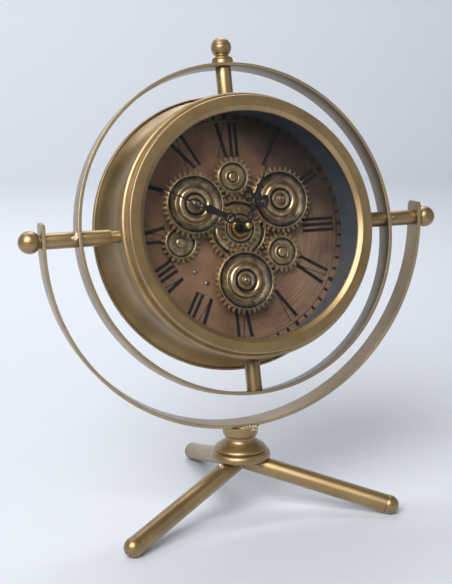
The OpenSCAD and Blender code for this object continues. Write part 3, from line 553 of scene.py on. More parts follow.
def dial_place() -> Place:
    """Finds the dial's own place from the joints.

    Returns:
        The place in the middle of the hoop's axle: right, up the dial, and out through the glass.
    """
    out = unit(np.array(joint("centre_gear_spin")["axis"], float))
    right = np.array([1.0, 0, 0])
    turn = np.stack([right, np.cross(out, right), out])
    return Place(np.array(joint("clock_tilt")["pos_m"]), turn)


def stand_place() -> Place:
    """The stand's place: upright, on the table under the hub."""
    low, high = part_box("base_hub")
    return Place(np.array([(low[0] + high[0]) / 2, (low[1] + high[1]) / 2, 0]), np.eye(3))


@dataclass(frozen=True)
class Gauge:
    """A solid's points as a place sees them: across, up, height, and distance from its axis."""

    local: np.ndarray
    radius: np.ndarray

    @classmethod
    def of(cls, node: str, place: Place) -> "Gauge":
        """Measures a solid of the frame.

        Args:
            node: The solid's name.
            place: Where to measure it from.

        Returns:
            The gauge, in millimetres.
        """
        mesh = frame["nodes"][node].data
        points = np.empty(3 * len(mesh.vertices))
        mesh.vertices.foreach_get("co", points)
        local = place.inward(points.reshape(-1, 3))
        return cls(local, np.hypot(local[:, 0], local[:, 1]))

    def reach(self) -> float:
        """The largest distance from the axis."""
        return float(self.radius.max())

    def bore(self) -> float:
        """The smallest distance from the axis."""
        return float(self.radius.min())

    def heights(self, beyond: float = 0.0) -> tuple[float, float]:
        """The lowest and highest point among those further from the axis than a distance."""
        height = self.local[self.radius > beyond, 2]
        return float(height.min()), float(height.max())

    def part(self, within: float = math.inf, above: float = -math.inf,
             below: float = math.inf) -> "Gauge":
        """Keeps some of the points.

        Args:
            within: They lie nearer to the axis than this.
            above: They lie higher than this.
            below: They lie lower than this.

        Returns:
            The gauge of those points.
        """
        height = self.local[:, 2]
        kept = (self.radius < within) & (height > above) & (height < below)
        return Gauge(self.local[kept], self.radius[kept])

    def phase(self, teeth: int) -> float:
        """Finds the angle of a tooth: the mean direction of the tips, each turned by its count.

        Args:
            teeth: The number of teeth.

        Returns:
            The angle from across, in radians.
        """
        tips = self.local[self.radius > self.reach() - 0.05]
        turns = teeth * np.arctan2(tips[:, 1], tips[:, 0])
        return float(np.angle(np.exp(1j * turns).sum())) / teeth


def eased(points: Corners | np.ndarray, radius: float = 0.3, steps: int = 4,
          closed: bool = True) -> np.ndarray:
    """Rounds the corners of an outline.

    Each corner p becomes the curve (1-t)^2 a + 2t(1-t) p + t^2 b, where a and b lie on its two
    sides at the given distance, or at 0.45 of a side that is shorter than that allows.

    Args:
        points: The outline's corners.
        radius: How far from a corner its round begins.
        steps: Straight pieces in a round.
        closed: Whether the last corner joins the first.

    Returns:
        The points of the rounded outline.
    """
    p = np.asarray(points, float)
    before, after = np.roll(p, 1, 0) - p, np.roll(p, -1, 0) - p
    near, far = (np.linalg.norm(side, axis=1, keepdims=True) for side in (before, after))
    a = p + before * np.minimum(radius / np.maximum(near, 1e-9), 0.45)
    b = p + after * np.minimum(radius / np.maximum(far, 1e-9), 0.45)
    t = np.linspace(0, 1, steps + 1)[None, :, None]
    rounds = (1 - t) ** 2 * a[:, None] + 2 * t * (1 - t) * p[:, None] + t ** 2 * b[:, None]
    if closed:
        return rounds.reshape(-1, p.shape[1])
    return np.concatenate([p[:1], rounds[1:-1].reshape(-1, p.shape[1]), p[-1:]])


def arc(x: float, y: float, radius: float, start: float, end: float, steps: int = 16) -> Corners:
    """Points about (x, y) from one angle to another, in degrees."""
    a = np.radians(np.linspace(start, end, steps + 1))
    return np.stack([x + radius * np.cos(a), y + radius * np.sin(a)], 1).tolist()


def grid_faces(rows: int, columns: int, wrap_rows: bool, wrap_columns: bool) -> np.ndarray:
    """Makes the quads between neighbours of a grid of points that is stored row by row.

    Args:
        rows: The number of rows.
        columns: The number of points in a row.
        wrap_rows: Whether the last row joins the first.
        wrap_columns: Whether the last point of a row joins its first.

    Returns:
        The numbers of each quad's four points.
    """
    i = np.arange(rows if wrap_rows else rows - 1)[:, None]
    j = np.arange(columns if wrap_columns else columns - 1)[None, :]
    corners = [((i + a) % rows) * columns + (j + b) % columns
               for a, b in ((0, 0), (1, 0), (1, 1), (0, 1))]
    return np.stack(corners, -1).reshape(-1, 4)


def turned(profile: Corners | np.ndarray, segments: int = 192,
           closed: bool = True) -> tuple[np.ndarray, np.ndarray]:
    """A turned surface: each point (r, h) of the profile at angle a is (r cos a, r sin a, h).

    Args:
        profile: The points (r, h), in millimetres.
        segments: Steps round the axis.
        closed: Whether the profile comes back to its first point.

    Returns:
        The points and the faces.
    """
    profile = np.asarray(profile, float)
    a = np.linspace(0, 2 * math.pi, segments, endpoint=False)[:, None]
    r, h = profile[:, 0][None, :], profile[:, 1][None, :]
    height = np.broadcast_to(h, (segments, len(profile)))
    points = np.stack([r * np.cos(a), r * np.sin(a), height], -1)
    return points.reshape(-1, 3), grid_faces(segments, len(profile), True, closed)


class Shell:
    """Gathers surfaces and makes one piece of them."""

    def __init__(self, place: Place) -> None:
        """Starts an empty shell.

        Args:
            place: The place that its surfaces are given in.
        """
        self.place = place
        self.points: list[np.ndarray] = []
        self.marks: list[np.ndarray] = []
        self.faces: list[list[int]] = []
        self.count = 0

    def add(self, points: np.ndarray, faces: Iterable, mark: object = 0.0,
            place: Place | None = None) -> "Shell":
        """Adds a surface.

        Args:
            points: Its points, in millimetres.
            faces: Its faces, by number of point.
            mark: How dark the patina lies, from 0 to 1, for each point or for all.
            place: Where the points are given, if not in the shell's own place.

        Returns:
            The shell itself.
        """
        self.points.append((place or self.place).outward(points))
        self.marks.append(np.broadcast_to(mark, len(points)))
        self.faces += [[corner + self.count for corner in face] for face in faces]
        self.count += len(points)
        return self

    def lathe(self, profile: Corners | np.ndarray, segments: int = 192, closed: bool = True,
              place: Place | None = None) -> "Shell":
        """Adds a turned surface.

        Args:
            profile: Its points (r, h), with the patina as a third number where it has one.
            segments: Steps round the axis.
            closed: Whether the profile comes back to its first point.
            place: The place whose axis it is turned about, if not the shell's own.

        Returns:
            The shell itself.
        """
        profile = np.asarray(profile, float)
        points, faces = turned(profile, segments, closed)
        marks = np.tile(profile[:, 2], segments) if profile.shape[1] > 2 else 0.0
        return self.add(points, faces, marks, place)

    def piece(self, name: str, slot: Slot, body: str, *nodes: str) -> bpy.types.Object:
        """Makes the piece: doubles merged, normals outward, smooth but for its creases.

        Args:
            name: The piece's name.
            slot: The record's slot that it takes its finish from.
            body: The body that it rides on.
            *nodes: The solids that it stands for.

        Returns:
            The new object.
        """
        mesh = bpy.data.meshes.new(name)
        mesh.from_pydata(np.concatenate(self.points), [], self.faces)
        mesh.attributes.new("patina", "FLOAT", "POINT").data.foreach_set(
            "value", np.concatenate(self.marks).astype(np.float32))
        return settle(mesh, name, slot, body, nodes)


def show(name: str, data: bpy.types.ID) -> bpy.types.Object:
    """Puts a mesh, a lamp or a camera into the scene.

    Args:
        name: The object's name.
        data: What it shows.

    Returns:
        The new object.
    """
    thing = bpy.data.objects.new(name, data)
    bpy.context.scene.collection.objects.link(thing)
    return thing


def settle(mesh: bpy.types.Mesh, name: str, slot: Slot, body: str, nodes: tuple[str, ...],
           crease: float = 35.0) -> bpy.types.Object:
    """Cleans a mesh, makes it an object of the scene and ties it to the frame.

    Args:
        mesh: The mesh, in metres.
        name: The piece's name.
        slot: The record's slot that it takes its finish from.
        body: The body that it rides on.
        nodes: The solids that it stands for.
        crease: The least angle of an edge that stays sharp, in degrees.

    Returns:
        The new object.
    """
    work = bmesh.new()
    work.from_mesh(mesh)
    bmesh.ops.remove_doubles(work, verts=work.verts, dist=1e-6)
    bmesh.ops.dissolve_degenerate(work, edges=work.edges, dist=1e-7)
    bmesh.ops.recalc_face_normals(work, faces=work.faces)
    work.to_mesh(mesh)
    work.free()
    mesh.shade_smooth()
    mesh.set_sharp_from_angle(angle=math.radians(crease))
    piece = show(name, mesh)
    mesh.materials.append(PAINTS[slot])
    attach(piece, body)
    if nodes:
        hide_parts(*nodes)
    LOG.info("%s rides on %s: %d points, %d faces", name, body, len(mesh.vertices),
             len(mesh.polygons))
    return piece


@dataclass(frozen=True)
class Strap:
    """A bent steel strip: a rectangle with rounded corners, carried along a line.

    The line and the strip's face directions are whole arrays. A point is the line's point, plus
    its place in the section across the thickness along the face's normal, plus its place across
    the width times the width's share there.
    """

    width: float
    thickness: float
    # wax and outer_shade are painted shade: wax on the inner face, outer_shade on the other faces.
    wax_and_shade: float = 0.3
    corner: float = 0.55
    outer_shade: float = 0.12
    edge_wax: float = -0.2

    @classmethod
    def as_hoop(cls, wax_and_shade: float = 0.3) -> "Strap":
        """Measures the strip that the hoop's solid is bent from.

        Args:
            wax_and_shade: How dark the patina lies on its inner face, as painted shade.

        Returns:
            The strip.
        """
        solid = Gauge.of("gimbal_ring", dial_place())
        low, high = solid.heights()
        return cls(high - low, solid.reach() - solid.bore(), wax_and_shade)

    def surface(self, line: np.ndarray, normal: np.ndarray, share: np.ndarray,
                closed: bool) -> tuple[np.ndarray, list[list[int]], np.ndarray]:
        """Sweeps the section.

        Args:
            line: Middles of the section (n, 3) in a place; the width runs along its third axis.
            normal: The face's unit normals (n, 3).
            share: The share of the width at each point (n,).
            closed: Whether the last section joins the first.

        Returns:
            The points, the faces with both ends closed when it doesn't join, and the patina,
            which is a little below 0 on the strip's rubbed cut edges and is painted shade on its
            faces, most on its inner face.
        """
        w, t = self.width / 2, self.thickness / 2
        section = eased([[-w, -t], [w, -t], [w, t], [-w, t]], self.corner, 5)
        across = section[None, :, 0, None] * share[:, None, None] * np.array([0, 0, 1.0])
        points = line[:, None] + across + section[None, :, 1, None] * normal[:, None]
        rows, columns = len(line), len(section)
        faces = grid_faces(rows, columns, closed, True).tolist()
        if not closed:
            faces += [list(range(columns)), list(range((rows - 1) * columns, rows * columns))]
        # Painted shade on the faces, most on the inner face; the cut edges are rubbed bare.
        face = np.where(section[:, 1] < 0, self.wax_and_shade, self.outer_shade)
        marks = np.where(np.abs(section[:, 0]) > w - 0.1, self.edge_wax, face)
        return points.reshape(-1, 3), faces, np.tile(marks, rows)


@dataclass(frozen=True)
class WeldBead:
    """A lumpy run of weld: a tube whose radius swells and shrinks along its line.

    At the share s of the line the radius is size (0.78 + 0.22 cos(2 pi lumps s)), closed to a
    point at both ends by 4 s (1 - s) to the power 0.25. The tube's points count from a side that
    lies square to the line and to a direction that no bead runs along.
    """

    size: float
    lumps: float
    around: int = 20
    aside: tuple[float, float, float] = (0.31, 0.42, 0.85)

    def surface(self, line: np.ndarray) -> tuple[np.ndarray, np.ndarray]:
        """Carries the tube along a line.

        Args:
            line: The line's points (n, 3).

        Returns:
            The points and the faces.
        """
        s = np.linspace(0, 1, len(line))
        swell = self.size * (0.78 + 0.22 * np.cos(math.tau * self.lumps * s))
        swell = swell * (4 * s * (1 - s)) ** 0.25
        ahead = unit(np.gradient(line, axis=0))
        side = unit(np.cross(ahead, self.aside))
        over = np.cross(ahead, side)
        a = np.linspace(0, math.tau, self.around, endpoint=False)[None, :, None]
        ring = side[:, None] * np.cos(a) + over[:, None] * np.sin(a)
        points = line[:, None] + ring * swell[:, None, None]
        return points.reshape(-1, 3), grid_faces(len(line), self.around, False, True)


@dataclass(frozen=True)
class Arch:
    """The yoke's outer radius, and the heights of its middle and its top, in the stand's place."""

    outer: float
    centre: float
    top: float

    @classmethod
    def of(cls, place: Place) -> "Arch":
        """Measures the yoke's solid.

        Args:
            place: The stand's place.

        Returns:
            The sizes, in millimetres.
        """
        yoke = Gauge.of("yoke", place)
        low, top = yoke.heights()
        outer = float(yoke.local[:, 0].max())
        return cls(outer, low + outer, top)

    def underside(self, x: np.ndarray) -> np.ndarray:
        """The height of the yoke's underside at x: centre - sqrt(outer^2 - x^2)."""
        return self.centre - np.sqrt(self.outer ** 2 - x ** 2)


@dataclass(frozen=True)
class Stand:
    """The tripod's hub, the yoke that is welded on it, and their weld beads."""

    clip: float = 3.0
    core_r: float = 5.0
    flange_h: float = 7.2
    flange_round: float = 3.0
    groove_h: float = 0.8
    groove_d: float = 0.7
    bell_r: float = 22.9
    bell_h: float = 11.4
    bell_power: float = 1.6
    waist_r: float = 13.1
    collar_r: float = 15.4
    collar_h: float = 4.2
    hub_steps: int = 160
    cap_more: float = 0.25
    cap_skirt: float = 3.0
    cap_steps: int = 96
    leg_weld_r: float = 18.2
    leg_weld_bulge: float = 3.2

    def build(self) -> None:
        """Makes the stand's pieces."""
        place = stand_place()
        arch = Arch.of(place)
        self.yoke(place, arch)
        self.hub(place, arch)
        self.welds(place, arch)
        for side in ("left", "right", "rear"):
            self.foot(place, side)

    def yoke(self, place: Place, arch: Arch) -> None:
        """Bends the yoke: half a circle, and two upright ends with clipped corners.

        Args:
            place: The stand's place.
            arch: The yoke's sizes.
        """
        strap = Strap.as_hoop()
        middle = arch.outer - strap.thickness / 2
        a = np.linspace(math.pi, math.tau, 181)
        rise = np.array([arch.top, arch.top - 0.01, arch.top - self.clip / 2,
                         arch.top - self.clip, (arch.top + arch.centre) / 2])
        ends = len(rise)
        x = np.concatenate([np.full(ends, -middle), middle * np.cos(a), np.full(ends, middle)])
        z = np.concatenate([rise, arch.centre + middle * np.sin(a), rise[::-1]])
        nx = np.concatenate([np.full(ends, -1.0), np.cos(a), np.full(ends, 1.0)])
        nz = np.concatenate([np.zeros(ends), np.sin(a), np.zeros(ends)])
        gap = 2 * self.clip / strap.width
        end = np.array([1 - gap - 0.05, 1 - gap, 1 - gap / 2, 1, 1])
        share = np.concatenate([end, np.ones(len(a)), end[::-1]])
        flat = np.stack([x, z, np.zeros_like(x)], 1)
        normal = np.stack([nx, nz, np.zeros_like(x)], 1)
        upright = Place(place.middle, place.turn[[0, 2, 1]])
        Shell(upright).add(*strap.surface(flat, normal, share, False)).piece(
            "bent_yoke", Slot.GOLD, "stand", "yoke")

    def hub(self, place: Place, arch: Arch) -> None:
        """Turns the hub.

        The flange's shoulder is a quarter of an ellipse. The bell's radius falls from its lip to
        the waist by half a cosine wave to the power 1.6, and the collar swells by a sine. Its top
        is cut to the yoke: the height is at most that of the yoke's underside at the same x.

        Args:
            place: The stand's place.
            arch: The yoke's sizes.
        """
        solid = Gauge.of("base_hub", place)
        core, top = solid.heights()
        flange = solid.reach()
        base = solid.heights(flange - 1.5)[0]
        ledge = base + self.flange_h
        lip = ledge + self.groove_h
        waist = lip + self.bell_h
        a = np.linspace(0, math.pi / 2, 14)
        shoulder = np.stack([flange - self.flange_round * (1 - np.cos(a)),
                             base + 1.2 + (self.flange_h - 1.6) * np.sin(a)], 1)
        t = np.linspace(0, 1, 24)
        fall = ((1 + np.cos(math.pi * t)) / 2) ** self.bell_power
        bell = np.stack([self.waist_r + (self.bell_r - self.waist_r) * fall,
                         lip + self.bell_h * t], 1)
        collar = np.stack([self.waist_r + (self.collar_r - self.waist_r) * np.sin(a),
                           waist + self.collar_h * (1 - np.cos(a))], 1)
        foot = [[0, core], [self.core_r, core], [self.core_r, base], [flange - 1.4, base],
                [flange - 0.3, base + 0.7]]
        groove_r = self.bell_r - self.groove_d
        groove = [[groove_r, ledge], [groove_r, lip - 0.5]]
        crown = [[self.collar_r, top - 2], [self.collar_r, top + 2], [9, top + 2], [5, top + 2],
                 [0, top + 2]]
        parts = ((foot, 0), (shoulder, 0), (groove, 0.5), (bell, 0), (collar[1:], 0), (crown, 0))
        corners = np.concatenate([np.column_stack([line, np.full(len(line), float(dark))])
                                  for line, dark in parts])
        line = eased(corners, 0.35, 3, closed=False)
        points, faces = turned(line, self.hub_steps, closed=False)
        points[:, 2] = np.minimum(points[:, 2], arch.underside(points[:, 0]) - 0.02)
        Shell(place).add(points, faces, np.tile(line[:, 2], self.hub_steps)).piece(
            "hub_turning", Slot.GOLD, "stand", "base_hub")

    def foot(self, place: Place, side: str) -> None:
        """Turns a foot cap a touch fuller than its tube, with a seam, flat where it stands.

        The dome's middle lies over the flat, at the height sqrt(r^2 - a^2) for a dome of radius r
        and a flat of radius a. The plug's far end gives the cap's direction.

        Args:
            place: The stand's place.
            side: The leg's name: left, right or rear.
        """
        points = Gauge.of("foot_cap_" + side, place).local
        flat = points[points[:, 2] < 0.02]
        middle = np.array([*(flat[:, :2].min(0) + flat[:, :2].max(0)) / 2, 0])
        r = float(np.hypot(points[:, 0], points[:, 1]).max() - np.hypot(*middle[:2]))
        a = float(np.hypot(*(flat - middle)[:, :2].T).max())
        middle[2] = math.sqrt(r * r - a * a)
        away = np.linalg.norm(points - middle, axis=1)
        along = unit(points[away > away.max() - 0.1].mean(0) - middle)
        across = unit(np.cross([0, 0, 1.0], along))
        own = Place(place.outward(middle), np.stack([across, np.cross(along, across), along]))
        full = r + self.cap_more
        end = self.cap_skirt
        profile = np.array([[*spot, 0] for spot in arc(0, 0, full, -90, 0, 28)]
                           + [[full, end - 0.7, 0], [full - 0.15, end - 0.35, 0.3],
                              [r - 0.5, end, 1], [r - 0.6, end + 0.3, 1], [0, end + 0.3, 1]])
        points, faces = turned(profile, self.cap_steps, closed=False)
        world = own.outward(points)
        world[:, 2] = np.maximum(world[:, 2], 0)
        shell = Shell(own).add(own.inward(world), faces, np.tile(profile[:, 2], self.cap_steps))
        if side == "left":
            self.nicks(shell, place, middle, full)
        shell.piece("foot_" + side, Slot.GOLD, "stand", "foot_cap_" + side)

    def nicks(self, shell: Shell, place: Place, middle: np.ndarray, full: float) -> None:
        """Sets two small dark nicks on the front foot, each a flat dot on the dome.

        Args:
            shell: The foot's shell.
            place: The stand's place.
            middle: The dome's middle.
            full: The dome's radius.
        """
        for azimuth, height in ((203, -14), (230, -34)):
            a, b = math.radians(azimuth), math.radians(height)
            out = np.array([math.cos(a) * math.cos(b), math.sin(a) * math.cos(b), math.sin(b)])
            side = np.array([-math.sin(a), math.cos(a), 0])
            spot = Place(place.outward(middle + out * (full - 0.04)),
                         np.stack([side, np.cross(out, side), out]))
            shell.lathe([[0, 0, 1], [1.1, 0, 1], [0.9, 0.1, 1], [0, 0.14, 1]], 20, False, spot)

    def welds(self, place: Place, arch: Arch) -> None:
        """Lays the beads: along the strip's edges on the collar, and where the legs meet.

        A bead along the strip runs from start to end, at a side of it, so far out and so far
        down, and wavers by a sine. A bead at a leg is half an ellipse that lies across the leg.

        Args:
            place: The stand's place.
            arch: The yoke's sizes.
        """
        half = Strap.as_hoop().width / 2
        shell = Shell(place)
        for start, end, side, out, drop, size in ((-5, 12.4, -1, 1.2, 0.4, 2.1),
                                                  (-3, 8.5, -1, 3.6, 1.7, 1.9),
                                                  (4, 11.5, -1, 2.6, 2.6, 1.7),
                                                  (-9, 12, 1, 1.2, 0.6, 1.9)):
            x = np.linspace(start, end, 60)
            wave = 0.5 * np.sin(1.9 * x)
            line = np.stack([x, side * (half + out + wave), arch.underside(x) - drop], 1)
            shell.add(*WeldBead(size, (end - start) / 2.6).surface(line), -0.5)
        for start, end in ((-40, 60), (120, 160)):
            a = np.radians(np.linspace(start, end, 70))
            x = self.collar_r * np.cos(a)
            rim = np.stack([x, self.collar_r * np.sin(a), arch.underside(x) - 1.0], 1)
            shell.add(*WeldBead(1.45, (end - start) / 14).surface(rim))
        seat = float(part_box("leg_left")[1][2]) / MM
        for side, spread in ((-150, 7.4), (-30, 6.5), (90, 6.5)):
            a = np.radians(np.linspace(-90, 90, 50))
            along = self.leg_weld_r + self.leg_weld_bulge * np.cos(a)
            across = spread * np.sin(a)
            b = math.radians(side)
            line = np.stack([along * math.cos(b) - across * math.sin(b),
                             along * math.sin(b) + across * math.cos(b),
                             np.full_like(a, seat - 0.3)], 1)
            shell.add(*WeldBead(1.2, 6).surface(line))
        blob = np.array([[-23.6, -12.5, -1.2], [-23.2, -14.8, -1.4], [-21.8, -17.2, -2.2]])
        steps = np.linspace(0, 2, 30)
        line = np.stack([np.interp(steps, [0, 1, 2], blob[:, i]) for i in range(3)], 1)
        shell.add(*WeldBead(2.7, 2).surface(line + [0, 0, seat]), -0.5)
        shell.piece("stand_welds", Slot.GOLD, "stand")


@dataclass(frozen=True)
class Gimbal:
    """The hoop, its spacers and posts, the ball knobs and the finial."""

    bore: float = 3.05
    foot_h: float = 5.4
    grooves: tuple[float, float] = (1.3, 4.0)
    groove_d: float = 0.45
    groove_w: float = 0.34

    def build(self) -> None:
        """Makes the gimbal's pieces."""
        dial = dial_place()
        self.hoop(dial)
        for name, angle in (("inner_spacer_left", 180), ("inner_spacer_right", 0),
                            ("outer_spacer_left", 180), ("outer_spacer_right", 0),
                            ("top_post", 90), ("bottom_post", -90)):
            self.tube(dial, name, angle)
        for name, angle in (("ball_knob_left", 180), ("ball_knob_right", 0)):
            self.ball(dial, name, angle)
        self.finial(dial)

    def hoop(self, dial: Place) -> None:
        """Bends the hoop, a full circle about the dial's axis, and adds its tack welds.

        A tack runs round an axle tube at a side, from start to end in degrees, and reaches so far
        out along the tube.

        Args:
            dial: The dial's place.
        """
        # The hoop's inner face takes more painted shade than the yoke's.
        strap = Strap.as_hoop(0.55)
        outer = Gauge.of("gimbal_ring", dial).reach()
        a = np.linspace(0, math.tau, 288, endpoint=False)
        flat = np.stack([np.cos(a), np.sin(a), np.zeros_like(a)], 1)
        shell = Shell(dial).add(*strap.surface((outer - strap.thickness / 2) * flat, flat,
                                               np.ones_like(a), True))
        tube = Gauge.of("outer_spacer_left", dial.radial(180)).reach()
        for side, start, end, reach, size in ((-1, 25, 100, 0.8, 1.4), (-1, 74, 88, 5.6, 1.7),
                                              (-1, 90, 98, 3.6, 1.5), (1, 50, 110, 1.0, 1.3),
                                              (1, 84, 90, 3.4, 1.7)):
            b = np.radians(np.linspace(start, end, 40))
            bead = np.stack([side * (outer + np.linspace(0.4, reach, 40)),
                             (tube + 0.1) * np.cos(b), (tube + 0.1) * np.sin(b)], 1)
            shell.add(*WeldBead(size, 2.5).surface(bead), -0.8 if side < 0 else -0.1)
        shell.piece("bent_hoop", Slot.GOLD, "clock", "gimbal_ring")

    def tube(self, dial: Place, node: str, angle: float) -> None:
        """Turns one spacer tube or post: a plain wall with eased ends.

        Args:
            dial: The dial's place.
            node: The solid's name.
            angle: Which way it points from the dial's middle, in degrees from across.
        """
        place = dial.radial(angle)
        solid = Gauge.of(node, place)
        low, high = solid.heights()
        r, bore = solid.reach(), solid.bore()
        corners = [[bore, low], [r, low], [r, high], [bore, high]]
        Shell(place).lathe(eased(corners, 0.45, 4), 64).piece(
            "tube_" + node, Slot.GOLD, carrier(node), node)

    def ball(self, dial: Place, node: str, angle: float) -> None:
        """Turns one ball knob: a blind bore for the stud, a short neck and the ball.

        Args:
            dial: The dial's place.
            node: The solid's name.
            angle: Which way it points from the dial's middle, in degrees from across.
        """
        place = dial.radial(angle)
        solid = Gauge.of(node, place)
        low, high = solid.heights()
        r = solid.reach()
        neck = solid.part(below=low + 0.2).reach()
        start = math.degrees(math.acos(neck / r))
        curve = arc(0, high - r, r, -start, 90, 44)
        end = Gauge.of(node.replace("ball_knob", "pivot_stud"), place).heights()[1] + 0.5
        profile = np.concatenate([[[0, end], [self.bore, end], [self.bore, low],
                                   [neck - 0.2, low], [neck, low + 0.2]], curve])
        Shell(place).lathe(profile, 96, closed=False).piece(
            "turned_" + node, Slot.GOLD, carrier(node), node)

    def finial(self, dial: Place) -> None:
        """Turns the finial: a foot flange, a waist, and a ball with two fine grooves.

        A groove takes groove_d exp(-(d / groove_w)^2) off the radius at the distance d from it.

        Args:
            dial: The dial's place.
        """
        place = dial.radial(90)
        solid = Gauge.of("finial", place)
        seat = Gauge.of("gimbal_ring", dial).reach()
        flange, high = solid.reach(), solid.heights()[1]
        r = solid.part(above=seat + 9).reach()
        middle = high - r
        end = seat + self.foot_h
        foot = [[0, seat - 1], [flange, seat - 1], [flange, end - 2.2], [flange - 1.1, end - 1.8],
                [flange - 0.4, end - 1.3], [flange - 0.5, end - 0.2], [flange - 2, end + 0.3],
                [6, end + 1.2], [5.5, end + 2.2], [5.65, end + 2.6]]
        ball = arc(0, middle, r, -49.5, 90, 120)
        profile = np.concatenate([eased(foot, 0.6, 5, closed=False), ball])
        for level in self.grooves:
            away = (profile[:, 1] - middle - level) / self.groove_w
            profile[:, 0] -= self.groove_d * np.exp(-away ** 2)
        points, faces = turned(profile.clip(0), 96, closed=False)
        points[:, 2] = np.maximum(points[:, 2], np.sqrt(seat ** 2 - points[:, 0] ** 2))
        Shell(place).add(points, faces).piece("turned_finial", Slot.GOLD, "clock", "finial")


@dataclass(frozen=True)
class Case:
    """The bezel and the spun drum with its cove and rims.

    Heights count forwards from the hoop's axle.
    """

    wall: float = 1.6
    bezel_seat: float = 2.05
    bezel_wall: float = 1.8
    flange_over: float = 20.0
    flange_gap: float = 3.2
    flange_bead: float = 3.2
    hollow_h: float = 8.0
    cove_h: float = -2.0
    cove_end: float = 3.2
    rim_bead: float = 2.0
    hem_w: float = 13.0
    hem_h: float = 3.8
    boss_most: float = 6.2
    stud_r: float = 3.05

    def build(self) -> None:
        """Makes the case's pieces."""
        dial = dial_place()
        self.bezel(dial)
        self.drum(dial)

    def bezel(self, dial: Place) -> None:
        """Turns the bezel: a flat face between a rolled lip and a sloping inner edge.

        Args:
            dial: The dial's place.
        """
        solid = Gauge.of("bezel", dial)
        back, front = solid.heights()
        r, opening = solid.reach(), solid.bore()
        face = solid.part(above=front - 0.05).bore()
        ledge = solid.part(within=opening + 0.05).heights()[0]
        wall = r - self.bezel_seat
        inner = wall - self.bezel_wall
        seat = solid.part(within=wall - 1.5).heights(opening + 1)[0]
        corners = [[wall, back], [r, back], [r, front - 1.1], [r - 0.9, front], [face, front],
                   [face - 0.5, front - 0.5], [opening + 0.5, front - 2.5], [opening, front - 3.1],
                   [opening, ledge], [inner, ledge], [inner, seat], [wall, seat]]
        Shell(dial).lathe(eased(corners, 0.5, 5), 288).piece(
            "turned_bezel", Slot.GOLD, "clock", "bezel")

    def drum(self, dial: Place) -> None:
        """Spins the drum.

        From the front it is a straight wall, a rolled flange bead, a hollow that falls back to
        the wall as (1 - s)^2, and a cove that opens to the back rim as s^2.

        Args:
            dial: The dial's place.
        """
        solid = Gauge.of("case_drum", dial)
        back, front = solid.heights()
        rim = solid.reach()
        lip = solid.part(above=front - 0.05)
        wall, inside = lip.reach(), lip.bore()
        flange = solid.part(above=self.flange_over, below=front).reach()
        bead, hem = self.flange_bead, self.rim_bead
        middle = front - self.flange_gap - bead
        cove = wall - 0.2
        flare = rim - hem - cove
        s = np.linspace(0, 1, 14)[:, None]
        dip = middle - bead - 0.8
        fall = np.concatenate([cove + (flange - bead - cove) * (1 - s) ** 2,
                               dip - (dip - self.hollow_h) * s], 1)
        depth = self.cove_h - back - self.cove_end
        s = np.linspace(0, 1, 24)[:, None]
        opening = np.concatenate([cove + flare * s ** 2, self.cove_h - depth * s], 1)
        outside = ([[wall, front], [wall, front - 2.9], [wall + 1.6, front - 3.1]]
                   + arc(flange - bead, middle, bead, 100, -70, 20) + fall.tolist()
                   + opening.tolist() + arc(rim - hem, back + hem, hem, 80, -180, 24))
        s = np.linspace(1, 0, 16)[:, None]
        seat = back + self.hem_h
        lining = np.concatenate([cove - self.wall + flare * s ** 2,
                                 self.cove_h - depth * s + 0.3], 1)
        inner = ([[rim - 2 * hem, seat], [rim - self.hem_w, seat],
                  [rim - self.hem_w, seat + 1.2]]
                 + lining.tolist() + [[inside, self.hollow_h], [inside, front]])
        shell = Shell(dial).lathe(np.array(outside + inner), 288)
        self.support(shell, solid, cove)
        for angle in (0, 90, 180, 270):
            place = dial.radial(angle)
            end, boss = self.boss_size(place)
            corners = [[self.stud_r, inside + 0.3], [boss, inside + 0.3], [boss, end],
                       [self.stud_r, end]]
            shell.lathe(eased(corners, 0.5, 4), 56, place=place)
        shell.piece("spun_drum", Slot.GOLD, "clock", "case_drum")

    def boss_size(self, place: Place) -> tuple[float, float]:
        """Measures a boss.

        Args:
            place: The place that looks along it.

        Returns:
            How far it reaches from the dial's middle, and its radius.
        """
        boss = Gauge.of("case_drum", place).part(within=self.boss_most, above=0)
        end = boss.heights()[1]
        return end, boss.part(above=end - 0.1).reach()

    def support(self, shell: Shell, solid: Gauge, cove: float) -> None:
        """Adds the flat ring behind the dial that the drum carries it on.

        Args:
            shell: The drum's shell.
            solid: The drum's gauge.
            cove: The radius where the cove begins.
        """
        inner = solid.part(within=cove - 5, below=-5).bore()
        low, high = solid.part(within=inner + 0.5).heights()
        corners = [[inner, low], [cove + 0.4, low], [cove + 0.4, high], [inner, high]]
        shell.lathe(eased(corners, 0.2, 2), 192)


class Numeral(Enum):
    """A Roman letter: its width, and a row for each stroke with x at foot, x at top, thickness.

    Everything is in millimetres. W is a V with its thin stroke first.
    """

    I = (4.9, ((2.45, 2.45, 2.8),))
    V = (11.6, ((5.8, 2.2, 3.1), (5.8, 9.6, 0.7)))
    W = (11.6, ((5.8, 2.0, 0.7), (5.8, 9.4, 3.1)))
    X = (12.2, ((9.4, 2.8, 3.2), (2.6, 9.6, 0.7)))


